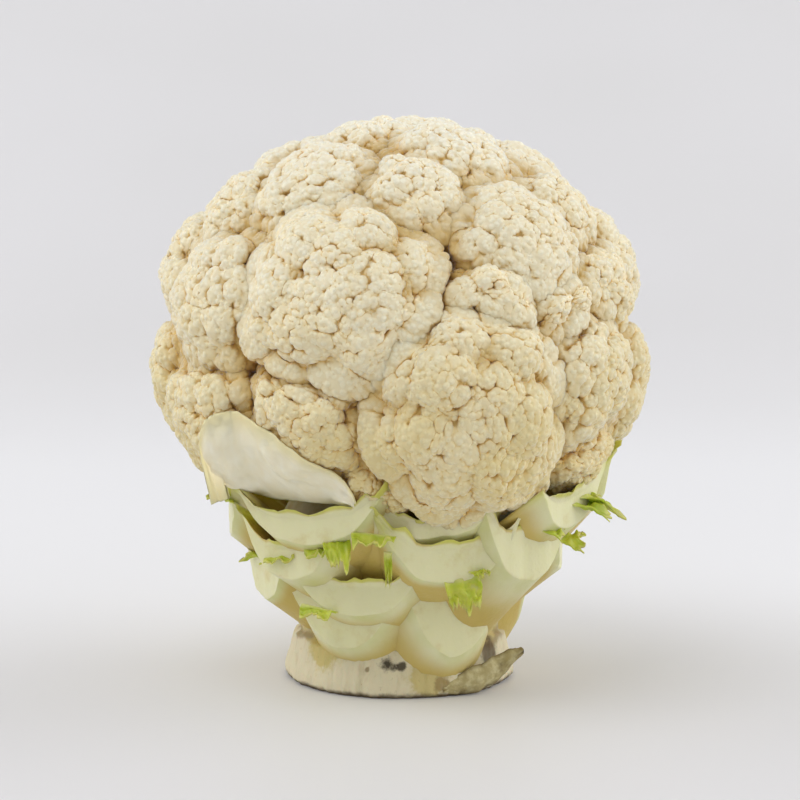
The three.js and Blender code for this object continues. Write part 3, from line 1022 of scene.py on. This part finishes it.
@dataclass
class LeafBase:
    """The stub of one leaf: it leans out of the stem and ends at an upright knife cut.

    Attributes:
        node: The frame node that it stands for.
        azimuth: Where it grows, in degrees from the front.
        cut_radius: From the stem's axis to the cut.
        cut_top: The height of the cut's upper edge.
        lean: Degrees from upright.
        half_width: Half its width.
        thickness: Its thickness along the midrib.
        curl: How far its wings curl up.
        lip: How far the thin upper skin stands past the cut.
        tilt: How far its right end is raised and its left end lowered.
        cuts: How finely it is split.
        tan: How fast the painted shade turns its outer skin tan away from the cut.
        start_radius: Where every leaf starts, from the stem's axis.
        bend: The radius that it is bent to over its distance from the axis.
        wing: Thickness at its sides, inside the tips.
        tip: Thickness at the tips of its wings.
        flutter: The height of the waves in its edges.
        raggedness: How far the cut wanders.
    """

    node: str
    azimuth: float
    cut_radius: float
    cut_top: float
    lean: float
    half_width: float
    thickness: float
    curl: float
    lip: float = 2.0
    tilt: float = 0.0
    cuts: int = 27
    tan: float = 1.0

    start_radius = 24.0
    bend = 1.35
    wing = 1.7
    tip = 0.7
    flutter = 2.2
    raggedness = 0.5

    def section(self, side: np.ndarray, down: np.ndarray) -> np.ndarray:
        """Height over the leaf's upper face, across it and down through it."""
        upper = self.curl * np.maximum(0.0, (np.abs(side) - 0.4) / 0.6) ** 1.7 + self.tilt * side
        bulge = np.maximum(0.0, 1.0 - (side / 0.85) ** 2) ** 0.85
        edge = self.wing + (self.tip - self.wing) * np.abs(side) ** 3
        return upper - (edge + (self.thickness - edge) * bulge) * down

    def place(self, side: np.ndarray, lift: np.ndarray, along: np.ndarray) -> np.ndarray:
        """Bend leaf coordinates into place; all are millimetres but side, which is -1 to 1.

        Args:
            side: Across the leaf.
            lift: Over its upper face.
            along: From its start, along it.

        Returns:
            Rows of x, y, z in metres.
        """
        slope = math.radians(self.lean)
        start = self.cut_top - (self.cut_radius - self.start_radius) / math.tan(slope)
        out = self.start_radius + along * math.sin(slope) - lift * math.cos(slope)
        up = start + along * math.cos(slope) + lift * math.sin(slope)
        bend = np.maximum(out, self.start_radius) * self.bend
        turn = side * self.half_width / bend
        outward = out - bend * (1.0 - np.cos(turn))
        across = bend * np.sin(turn)
        places = outward[:, None] * heading(self.azimuth) + across[:, None] * heading(self.azimuth + 90)
        places[:, 2] = up
        return places * MM

    def reach(self, side: np.ndarray, lift: np.ndarray, radius: np.ndarray) -> np.ndarray:
        """How far along the leaf the knife's plane lies."""
        slope = math.radians(self.lean)
        along = np.full(len(side), (self.cut_radius - self.start_radius) / math.sin(slope))
        ahead = heading(self.azimuth)[:2] / MM
        for _ in range(8):
            now = self.place(side, lift, along)[:, :2] @ ahead
            along = np.maximum(along + (radius - now) / math.sin(slope), 2.0)
        return along

    def build(self, seed: int, material: bpy.types.Material) -> bpy.types.Object:
        """Model the leaf base and dress it.

        Args:
            seed: Fixes its waves.
            material: The leaf's finish.

        Returns:
            The finished piece.
        """
        form = block(self.cuts)
        cube = np.array([v.co[:] for v in form.verts])
        side = np.sin(cube[:, 0] * math.pi / 2) * 0.35 + cube[:, 0] * 0.65
        down = ((1.0 - cube[:, 2]) / 2.0) ** 1.35
        length = 1.0 - ((1.0 - cube[:, 1]) / 2.0) ** 1.4
        lift = self.section(side, down)
        sides = np.unique(side)
        ripple = np.interp(side, sides, wave(sides * 2.2, seed + 0.3))
        flutter = np.interp(side, sides, wave(sides * 4.5, seed + 7.7))
        ragged = np.interp(side, sides, wave(sides * 5.0, seed + 3.1, 2))
        end = self.reach(side, lift, self.cut_radius + self.raggedness * ragged)
        skin = np.clip(1.0 - down / 0.16, 0.0, 1.0)
        lip = self.lip * np.clip(0.65 + 1.4 * ripple + 0.5 * ragged, 0.08, 1.9) * skin ** 0.7
        late = length ** 3
        wings = np.abs(side) ** 3
        thin = skin * np.minimum(lip, 1.0)
        lift = lift + late * (self.flutter * wings * flutter + 0.5 * self.flutter * ripple)
        lift += self.flutter * flutter * late * thin
        along = length * end + lip * late
        points = self.place(side, lift, along)
        set_points(form, points)
        mesh = closed_mesh(form, self.node)
        write_value(mesh, "cut", (cube[:, 1] > 0.999) * (1.0 - 0.8 * skin))
        # upper and root drive painted shade: tan on the upper face and on the skin back from the cut.
        write_value(mesh, "upper", 1.0 - down)
        write_value(mesh, "root", (1.0 - length) * self.tan)
        write_value(mesh, "rim", late * np.maximum(wings * 0.9, thin) + 0.25 * ripple * late)
        piece = add_object(self.node + "_waxy", mesh)
        install(piece, self.node, Slot.LEAF, material)
        return piece


@dataclass
class BladeScrap:
    """A torn remnant of leaf blade that hangs or stands at a leaf base's cut.

    Attributes:
        leaf: The leaf base that it grows on.
        side: Where on the leaf, -1 to 1.
        drop: How far below the leaf's upper face it starts, in millimetres.
        width: Its width.
        length: Its length.
        outward: How much it points out of the cut.
        upward: How much it points up.
        sideways: How much it points to the leaf's right.
        twist: How far it turns over along its length, in degrees.
        ruffle: The height of its waves.
        root_depth: How deep it starts behind the cut.
        thickness: Its thickness.
        sag: How far its end droops, over its length.
    """

    leaf: LeafBase
    side: float
    drop: float
    width: float
    length: float
    outward: float
    upward: float
    sideways: float = 0.0
    twist: float = 25.0
    ruffle: float = 1.2

    root_depth = 0.8
    thickness = 0.55
    sag = 0.25

    def build(self, number: int, material: bpy.types.Material) -> bpy.types.Object:
        """Model the scrap and dress it.

        Args:
            number: Its number, which names it and fixes its outline.
            material: The blade's finish.

        Returns:
            The finished piece.
        """
        side = np.array([self.side])
        lift = self.leaf.section(side, np.zeros(1)) - self.drop
        along = self.leaf.reach(side, lift, np.full(1, self.leaf.cut_radius - self.root_depth))
        root = self.leaf.place(side, lift, along)[0]
        ahead = heading(self.leaf.azimuth)
        right = heading(self.leaf.azimuth + 90)
        up = np.array((0.0, 0.0, 1.0))
        run = self.outward * ahead + self.upward * up + self.sideways * right
        run /= np.linalg.norm(run)
        across = right - run * (right @ run)
        across /= np.linalg.norm(across)
        form = bmesh.new()
        bmesh.ops.create_grid(form, x_segments=22, y_segments=22, size=1.0)
        x = np.array([v.co.x for v in form.verts])
        y = np.array([(v.co.y + 1.0) / 2.0 for v in form.verts])
        edge = np.interp(x, np.unique(x), wave(np.unique(x) * 2.4, number + 11.3, 3))
        ruffle = np.array([fractal(a * 1.7, b * 2.4, number + 5.1) for a, b in zip(x, y)])
        reach = y * (1.0 + 0.5 * edge * y)
        angle = np.radians(self.twist) * reach * (1.0 + 0.4 * ruffle)
        face = np.cross(run, across)
        wide = x * self.width / 2.0 * (1.0 - 0.2 * y ** 2 + 0.1 * edge * y)
        points = (root + (reach * self.length)[:, None] * run * MM
                  + (wide * np.cos(angle))[:, None] * across * MM
                  + (wide * np.sin(angle) + self.ruffle * ruffle * y * 2.2)[:, None] * face * MM
                  - (self.sag * self.length * reach ** 2)[:, None] * up * MM)
        set_points(form, points)
        mesh = solid_sheet(form, self.thickness * MM, self.leaf.node, {"reach": y})
        piece = add_object(f"{self.leaf.node}_blade_{number}", mesh)
        install(piece, self.leaf.node, Slot.LEAF, material)
        return piece


def solid_sheet(form: bmesh.types.BMesh, thickness: float, name: str,
                values: dict[str, np.ndarray]) -> bpy.types.Mesh:
    """Give an open sheet thickness and carry values on its points over both sides.

    Args:
        form: The sheet, which is used up.
        thickness: Its thickness.
        name: The mesh's name.
        values: Named values, one to a point of the sheet.

    Returns:
        The closed mesh.
    """
    layers = {key: form.verts.layers.float.new(key) for key in values}
    for key, numbers in values.items():
        for vert, number in zip(form.verts, numbers):
            vert[layers[key]] = float(number)
    bmesh.ops.solidify(form, geom=form.faces[:] + form.edges[:] + form.verts[:], thickness=thickness)
    return closed_mesh(form, name)


# ------------------------------------------------------------------ inner leaf, stump and peel


@dataclass
class InnerLeaf:
    """A thin remnant that lies taut over the florets at the lower left.

    Attributes:
        node: The frame node that it stands for.
        left: Azimuth of its left end, in degrees.
        right: Azimuth of its right end.
        bottom: Elevation of its lower edge, seen from the heart, in degrees.
        top: Elevation of its upper edge's peak.
        columns: Faces along it.
        rows: Faces up it.
        clearance: How far it stays off the florets.
        thickness: Its thickness.
        corner: How far its lower left corner is rounded up, in degrees.
        smoothings: How often it is drawn taut.
        fold_height: The height of its folds.
        edge_lift: How far its upper edge stands off.
    """

    node: str = "inner_leaf"
    left: float = -53.0
    right: float = -12.0
    bottom: float = -23.0
    top: float = 2.5
    columns: int = 84
    rows: int = 44
    clearance: float = 0.5 * MM
    thickness: float = 0.7 * MM
    corner: float = 7.0
    smoothings: int = 9
    fold_height: float = 0.5 * MM
    edge_lift: float = 0.6 * MM

    def build(self, florets: list[bpy.types.Object], material: bpy.types.Material) -> bpy.types.Object:
        """Drape the sheet and dress it.

        Args:
            florets: The finished florets.
            material: The inner leaf's finish.

        Returns:
            The finished piece.
        """
        form = bmesh.new()
        bmesh.ops.create_grid(form, x_segments=self.columns, y_segments=self.rows, size=1.0)
        x = np.array([(v.co.x + 1.0) / 2.0 for v in form.verts])
        y = np.array([(v.co.y + 1.0) / 2.0 for v in form.verts])
        columns = np.unique(x)
        jag = np.interp(x, columns, wave(columns * 5.0, 4.4, 4))
        rise = np.sin(np.pi * np.clip(x, 0, 1) ** 0.55) ** 0.6
        top = self.bottom + 3.0 + (self.top - self.bottom - 3.0) * rise + 0.9 * jag
        azimuth = self.left + (self.right - self.left) * x
        bottom = np.minimum(self.bottom + self.corner * np.clip(1.0 - x / 0.2, 0, 1) ** 2, top - 1.0)
        rays = heading(azimuth, bottom + (top - bottom) * y)
        ground = OUTLINE.distance(rays) - 6.0 * MM
        far = OUTLINE.radius * 1.6
        low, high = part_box(self.node)
        for floret in florets:
            corners = [Vector(c) for c in floret.bound_box]
            if (max(c.x for c in corners) < low[0] or min(c.x for c in corners) > high[0]
                    or max(c.y for c in corners) < low[1] or min(c.y for c in corners) > high[1]
                    or max(c.z for c in corners) < low[2] or min(c.z for c in corners) > high[2]):
                continue
            tree = BVHTree.FromPolygons([v.co for v in floret.data.vertices],
                                        [p.vertices for p in floret.data.polygons])
            for index, ray in enumerate(rays):
                hit, _, _, distance = tree.ray_cast(HEART + Vector(ray) * far, -Vector(ray), far)
                if hit is not None:
                    ground[index] = max(ground[index], far - distance)
        sheet = ground + self.clearance
        links = [[edge.other_vert(vert).index for edge in vert.link_edges] for vert in form.verts]
        widest = max(len(link) for link in links)
        table = np.array([link + [link[-1]] * (widest - len(link)) for link in links])
        for _ in range(self.smoothings):
            sheet = np.maximum(ground + self.clearance, sheet[table].mean(axis=1))
        folds = np.array([fractal(a * 5.0 + b * 2.0, b * 1.4, 9.1) for a, b in zip(x, y)])
        sheet = sheet + self.fold_height * folds
        sheet += self.edge_lift * np.clip((y - 0.93) / 0.07, 0, 1) * (0.5 + jag)
        for vert, ray, reach in zip(form.verts, rays, sheet):
            vert.co = HEART + Vector(ray) * float(reach)
        edge = np.maximum.reduce([y, 1.0 - x / 0.06, (x - 0.9) / 0.1 * 0.9])
        mesh = solid_sheet(form, self.thickness, self.node, {"edge": np.clip(edge, 0, 1)})
        piece = add_object(self.node + "_sheet", mesh)
        install(piece, self.node, Slot.INNER_LEAF, material)
        return piece


@dataclass
class Stump:
    """The stem: smooth above, with a scratched corky foot below a wandering ledge.

    Attributes:
        node: The frame node that it stands for.
        steps: Faces round it.
        ledge: The height of the fold above the corky foot.
        ledge_depth: How far the foot stands out under the fold.
        ledge_wander: How far the fold rises and falls.
        lump_height: The height of broad lumps.
        groove_depth: The depth of fine upright grooves.
        chip_depth: The depth of chips out of the cut edge.
    """

    node: str = "stem"
    steps: int = 200
    ledge: float = 16.0 * MM
    ledge_depth: float = 1.9 * MM
    ledge_wander: float = 3.2 * MM
    lump_height: float = 0.7 * MM
    groove_depth: float = 0.35 * MM
    chip_depth: float = 0.8 * MM

    def build(self, material: bpy.types.Material) -> bpy.types.Object:
        """Model the stem and dress it.

        Args:
            material: The stump's finish.

        Returns:
            The finished piece.
        """
        solid = cad_copy(self.node)
        tree = BVHTree.FromBMesh(solid)
        crown = max(v.co.z for v in solid.verts)
        solid.free()
        heights = np.concatenate((np.linspace(0.0, 3 * MM, 8), np.linspace(3.6 * MM, 64 * MM, 88),
                                  np.linspace(67 * MM, crown - 1 * MM, 14)))
        profile = [(0.0, 0.0)]
        for height in heights:
            reaches = []
            for angle in np.linspace(0, 2 * math.pi, 24, endpoint=False) + 0.04:
                ray = Vector((math.cos(angle), math.sin(angle), 0.0))
                hit, _, _, distance = tree.ray_cast(Vector((0.0, 0.0, max(float(height), 0.01 * MM))), ray)
                reaches.append(distance if hit is not None else 0.0)
            profile.append((max(reaches), float(height)))
        profile.insert(1, (profile[1][0] * 0.5, 0.0))
        profile.append((0.0, crown))
        form = bmesh.new()
        verts = [form.verts.new((radius, 0.0, height)) for radius, height in profile]
        edges = [form.edges.new(pair) for pair in zip(verts, verts[1:])]
        bmesh.ops.spin(form, geom=verts + edges, axis=(0, 0, 1), cent=(0, 0, 0), dvec=(0, 0, 0),
                       angle=2 * math.pi, steps=self.steps, use_merge=True)
        bmesh.ops.remove_doubles(form, verts=form.verts, dist=0.005 * MM)
        for vert in form.verts:
            radius = math.hypot(vert.co.x, vert.co.y)
            if radius < 20 * MM or vert.co.z > 64 * MM:
                continue
            out = Vector((vert.co.x / radius, vert.co.y / radius, 0.0))
            wander = self.ledge_wander * fractal(out.x * 2.1, out.y * 2.1, 3.7)
            over = vert.co.z - self.ledge - wander
            shelf = self.ledge_depth * (1.0 - min(max(over / (1.2 * MM) + 0.5, 0.0), 1.0))
            lumps = self.lump_height * fractal(*(vert.co * 45.0))
            grooves = self.groove_depth * fractal(out.x * 26.0, out.y * 26.0, vert.co.z * 60.0)
            foot = min(max((self.ledge - vert.co.z) / (6 * MM), 0.0), 1.0)
            chips = 0.0
            if vert.co.z < 2 * MM:
                chips = self.chip_depth * min(0.0, noise.noise(Vector((out.x * 14.0, out.y * 14.0, 1.3))))
            vert.co += out * (shelf - 0.4 * MM + lumps + grooves * (0.4 + foot) + chips)
        piece = add_object(self.node + "_corky", closed_mesh(form, self.node))
        install(piece, self.node, Slot.STEM, material)
        return piece


@dataclass
class Peel:
    """A strip of dry skin that has come away from the foot's right side.

    Attributes:
        node: The frame node that it stands for.
        turn: The azimuth that it faces, in degrees.
        start: Its left end, in millimetres.
        stations: Distances along it, in millimetres.
        lower: The height of its lower edge at each station, over its start.
        upper: The height of its upper edge at each station.
        thickness: Its thickness.
    """

    node: str = "skin_sliver"
    turn: float = 22.0
    start: tuple[float, float, float] = (14.0, -35.6, 2.2)
    stations: tuple[float, ...] = (0.0, 6.0, 12.0, 17.0, 22.0, 28.0)
    lower: tuple[float, ...] = (0.0, -0.8, -0.6, 1.5, 4.5, 11.0)
    upper: tuple[float, ...] = (1.0, 4.8, 7.4, 9.5, 11.6, 12.2)
    thickness: float = 1.1 * MM

    def build(self, material: bpy.types.Material) -> bpy.types.Object:
        """Model the peel and dress it.

        Args:
            material: The peel's finish.

        Returns:
            The finished piece.
        """
        form = bmesh.new()
        bmesh.ops.create_grid(form, x_segments=48, y_segments=16, size=1.0)
        x = np.array([(v.co.x + 1.0) / 2.0 for v in form.verts])
        y = np.array([(v.co.y + 1.0) / 2.0 for v in form.verts])
        jag = np.interp(x, np.unique(x), wave(np.unique(x) * 6.0, 8.2, 4))
        along = x * self.stations[-1]
        low = np.interp(along, self.stations, self.lower)
        high = np.interp(along, self.stations, self.upper) + 0.9 * jag
        ruffle = np.array([fractal(a * 5.0, b * 1.5, 2.2) for a, b in zip(x, y)])
        forward = heading(self.turn + 90.0)
        outward = heading(self.turn)
        bulge = 1.2 * np.sin(np.pi * y) + 1.2 * ruffle - 1.2 * (1.0 - x) ** 2 - 1.0 * x
        points = (np.array(self.start) + along[:, None] * forward + bulge[:, None] * outward
                  + (low + (high - low) * y)[:, None] * np.array((0.0, 0.0, 1.0)))
        points[:, 2] = np.maximum(points[:, 2], 0.8)
        set_points(form, points * MM)
        edge = np.maximum.reduce([y, 1.0 - y, x])
        mesh = solid_sheet(form, self.thickness, self.node, {"edge": np.clip(edge, 0, 1)})
        piece = add_object(self.node + "_dry", mesh)
        install(piece, self.node, Slot.SKIN, material)
        return piece


# ------------------------------------------------------------------ the studio


@dataclass
class Studio:
    """A pale floor, paler in a band of painted light under and behind the head, soft light and the camera.

    Attributes:
        distance: From the camera to the point that it looks at.
        aim_height: The height of that point.
        pitch: How far the camera looks down, in degrees.
        lens: Focal length for a 36 mm wide film.
        sweep_start: How far behind the head the floor starts to curve up.
        sweep_radius: The curve's radius.
    """

    distance: float = 0.850
    aim_height: float = 0.0916
    pitch: float = 7.5
    lens: float = 116.1
    sweep_start: float = 0.5
    sweep_radius: float = 1.1

    def floor(self) -> None:
        """Lay a floor that curves up into the backdrop, with painted light making it paler under and behind
        the head.
        """
        sweep = bmesh.new()
        bmesh.ops.create_grid(sweep, x_segments=2, y_segments=96, size=1.0)
        for vert in sweep.verts:
            path = -2.0 + 3.5 * (vert.co.y + 1.0)
            angle = min(max((path - self.sweep_start) / self.sweep_radius, 0.0), math.pi / 2)
            rest = max(path - self.sweep_start - self.sweep_radius * math.pi / 2, 0.0)
            depth = min(path, self.sweep_start) + self.sweep_radius * math.sin(angle)
            vert.co = (3.5 * vert.co.x, depth, self.sweep_radius * (1.0 - math.cos(angle)) + rest)
        mesh = bpy.data.meshes.new("floor")
        sweep.to_mesh(mesh)
        sweep.free()
        floor = add_object("floor", mesh)
        shader = Shader("paper")
        grain = shader.spread(shader.noise(3.0, 2.0), 0.3, 0.7)
        paper = shader.mix(grain, srgb(223, 222, 223), srgb(226, 225, 227))
        # Painted light: the paper is paler in a band from under the head back to where the floor starts to
        # curve up.
        near = shader.maths("MULTIPLY", shader.spread(shader.axis("Y"), -0.1, 0.15),
                            shader.spread(shader.axis("Y"), 0.8, 0.4))
        paper = shader.mix(near, paper, srgb(237, 237, 239))
        mesh.materials.append(shader.finish(paper, Gloss(0.5)))

    def lamp(self, name: str, place: tuple[float, float, float], size: float, power: float,
             colour: tuple[float, float, float] = (1.0, 1.0, 1.0)) -> None:
        """Hang a square soft light that faces the curd.

        Args:
            name: The light's name.
            place: Where it hangs.
            size: Its side.
            power: Its power in watts.
            colour: Its linear colour.
        """
        light = bpy.data.lights.new(name, "AREA")
        light.size = size
        light.energy = power
        light.color = colour
        holder = bpy.data.objects.new(name, light)
        holder.location = place
        holder.rotation_euler = (HEART - Vector(place)).to_track_quat("-Z", "Y").to_euler()
        bpy.context.scene.collection.objects.link(holder)

    def light(self) -> None:
        """Set a bright, even surround and a soft key from above the left."""
        world = bpy.data.worlds.new("studio")
        bpy.context.scene.world = world
        world.use_nodes = True
        background = world.node_tree.nodes["Background"]
        background.inputs["Color"].default_value = (0.99, 0.993, 1.0, 1.0)
        background.inputs["Strength"].default_value = 0.56
        self.lamp("key", (-1.0, -1.0, 2.6), 1.8, 20.0)
        self.lamp("fill", (1.9, -1.2, 1.3), 1.8, 6.6)
        self.lamp("left_rim", (-1.6, 0.3, 0.8), 1.4, 9.7)
        self.lamp("right_rim", (1.6, 0.3, 0.8), 1.4, 11.0)

    def camera(self) -> None:
        """Set up the camera at the usual viewing angle."""
        tilt = math.radians(self.pitch)
        data = bpy.data.cameras.new("camera")
        data.lens = self.lens
        data.sensor_width = 36.0
        data.clip_start = 0.01
        camera = bpy.data.objects.new("camera", data)
        height = self.aim_height + self.distance * math.sin(tilt)
        camera.location = (0.0, -self.distance * math.cos(tilt), height)
        camera.rotation_euler = (math.pi / 2 - tilt, 0.0, 0.0)
        bpy.context.scene.collection.objects.link(camera)
        bpy.context.scene.camera = camera

    def build(self) -> None:
        """Set the whole studio."""
        bpy.context.scene.view_settings.view_transform = "Standard"
        self.floor()
        self.light()
        self.camera()


# ------------------------------------------------------------------ the whole head


def leaf_bases() -> list[LeafBase]:
    """List the leaf bases, the inner ones first."""
    return [
        LeafBase("leaf_inner_front", 9, 58, 62, 42, 24, 4, 2, lip=3.0),
        LeafBase("leaf_upper_right", 58, 66, 67, 47, 25, 8, 5, lip=2.0, tilt=3.0),
        LeafBase("leaf_upper_front", 16, 57, 54, 60, 27, 11, 9, lip=3.0),
        LeafBase("leaf_upper_left", -27, 61, 63, 57, 29, 8, 6, lip=3.0, tilt=2.5),
        LeafBase("leaf_upper_back_right", 108, 66, 64, 46, 25, 9, 5, lip=3.0),
        LeafBase("leaf_upper_back", 163, 62, 59, 49, 26, 9, 6, lip=2.5),
        LeafBase("leaf_upper_back_left", -145, 65, 62, 47, 24, 9, 5, lip=3.0),
        LeafBase("leaf_upper_left_side", -84, 56, 60, 49, 21, 9, 5, lip=3.0),
        LeafBase("leaf_middle_left", -40, 55, 51, 58, 22, 9.5, 8, tan=0.35),
        LeafBase("leaf_middle_right", 43, 60, 57, 46, 22, 12, 6, tan=0.35),
        LeafBase("leaf_middle_right_side", 86, 53, 48, 50, 21, 9, 7),
        LeafBase("leaf_middle_back_right", 134, 52, 48, 50, 22, 10, 7),
        LeafBase("leaf_middle_back_left", -166, 50, 44, 55, 22, 10, 7),
        LeafBase("leaf_middle_left_back", -116, 53, 48, 50, 21, 10, 7),
        LeafBase("leaf_middle_left_side", -66, 48, 42, 52, 19, 10, 6),
        LeafBase("leaf_middle_front", -17, 48, 40, 58, 27, 9.5, 8, lip=1.5, tan=0.35),
        LeafBase("leaf_lower_left", -27, 40, 33, 38, 24, 10, 3, lip=0.8, tan=0.3),
        LeafBase("leaf_lower_right", 26, 40.5, 40, 27, 24, 12, 3, lip=0.8, tan=0.3),
        LeafBase("leaf_lower_back_right", 112, 40, 33, 33, 20, 11, 4, lip=1.0),
        LeafBase("leaf_lower_back_left", -128, 41, 34, 35, 21, 11, 4, lip=1.0),
    ]


def blade_scraps(leaves: dict[str, LeafBase]) -> list[BladeScrap]:
    """List the torn blade remnants.

    Args:
        leaves: The leaf bases by their nodes' names.

    Returns:
        The scraps.
    """
    left = leaves["leaf_middle_left"]
    front = leaves["leaf_upper_front"]
    right = leaves["leaf_middle_right"]
    low = leaves["leaf_middle_front"]
    side = leaves["leaf_middle_left_side"]
    return [
        BladeScrap(left, 0.9, 2.0, 9.0, 9.0, 0.9, -0.5, 0.9, -20.0, 1.2),
        BladeScrap(left, 0.62, 0.5, 12.0, 5.0, 1.0, -0.3, 0.3, 15.0, 1.0),
        BladeScrap(front, -0.92, 5.0, 14.0, 5.0, 1.0, -0.3, -0.4, 10.0, 1.2),
        BladeScrap(front, -0.75, 6.0, 2.5, 8.0, 0.5, -1.0, -0.1, 40.0, 0.8),
        BladeScrap(front, 0.14, 8.5, 12.0, 8.0, 0.5, -1.0, 0.1, 10.0, 1.4),
        BladeScrap(front, 0.3, 8.0, 5.0, 5.0, 0.8, 0.2, 0.4, 30.0, 1.0),
        BladeScrap(right, 0.75, -1.0, 10.0, 12.0, 0.7, 0.15, 1.0, 25.0, 1.6),
        BladeScrap(right, 0.95, 0.0, 8.0, 13.0, 0.6, -0.2, 1.0, -20.0, 1.5),
        BladeScrap(right, 0.35, 0.0, 14.0, 7.0, 1.0, 0.1, 0.5, 20.0, 1.4),
        BladeScrap(low, -0.85, 1.0, 16.0, 5.0, 0.9, 0.3, -0.2, 12.0, 1.0),
        BladeScrap(low, -0.45, 8.0, 14.0, 4.0, 1.0, -0.3, -0.3, 12.0, 0.8),
        BladeScrap(side, 0.55, 0.0, 8.0, 5.0, 0.9, 0.5, -0.2, 20.0, 1.0),
        BladeScrap(side, -0.3, 0.0, 8.0, 5.0, 0.9, 0.5, -0.4, 20.0, 1.0),
        BladeScrap(leaves["leaf_upper_left_side"], 0.6, 0.0, 12.0, 8.0, 1.0, 0.5, 0.3, 20.0, 1.4),
        BladeScrap(leaves["leaf_upper_back_left"], 0.3, 0.0, 15.0, 9.0, 1.0, 0.2, 0.3, 20.0, 1.5),
        BladeScrap(leaves["leaf_middle_left_back"], -0.5, 0.0, 13.0, 8.0, 1.0, 0.2, 0.1, 20.0, 1.4),
        BladeScrap(leaves["leaf_upper_back"], -0.6, 0.0, 15.0, 9.0, 1.0, 0.2, -0.3, 20.0, 1.5),
        BladeScrap(leaves["leaf_middle_back_right"], 0.4, 0.0, 13.0, 9.0, 1.0, 0.0, 0.2, 20.0, 1.4),
        BladeScrap(leaves["leaf_upper_back_right"], 0.2, 0.0, 13.0, 8.0, 1.0, 0.3, 0.2, 20.0, 1.4),
        BladeScrap(leaves["leaf_middle_right_side"], -0.5, 0.0, 10.0, 8.0, 1.0, 0.2, -0.2, 20.0, 1.3),
    ]


def main() -> None:
    """Build every piece in order and report it."""
    logging.basicConfig(level=logging.INFO, format="%(message)s")
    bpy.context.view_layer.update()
    Studio().build()
    curd = CurdFinish().material()
    nodes = sorted(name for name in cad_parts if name.startswith("floret"))
    florets = []
    for number, node in enumerate(nodes):
        cuts = BACK_FLORET_CUTS if "back" in node else FLORET_CUTS
        if node in LARGE_FLORETS:
            cuts = LARGE_FLORET_CUTS
        florets.append(FloretHead(node, number, cage_cuts=cuts, droop=DROOPS.get(node, 0.0)).build(curd))
    InnerLeaf().build(florets, MembraneFinish().material())
    Stump().build(CorkFinish().material())
    leaf = LeafFinish().material()
    leaves = leaf_bases()
    for number, base in enumerate(leaves):
        base.build(number, leaf)
    blade = BladeFinish().material()
    for number, scrap in enumerate(blade_scraps({base.node: base for base in leaves})):
        scrap.build(number, blade)
    Peel().build(PeelFinish().material())


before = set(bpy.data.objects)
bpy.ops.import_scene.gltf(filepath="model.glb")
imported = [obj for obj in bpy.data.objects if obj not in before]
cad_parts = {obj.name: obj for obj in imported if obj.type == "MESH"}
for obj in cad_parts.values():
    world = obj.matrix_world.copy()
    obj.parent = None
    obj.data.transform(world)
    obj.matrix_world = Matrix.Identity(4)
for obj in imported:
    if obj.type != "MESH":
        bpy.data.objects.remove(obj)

if __name__ == "__main__":
    main()
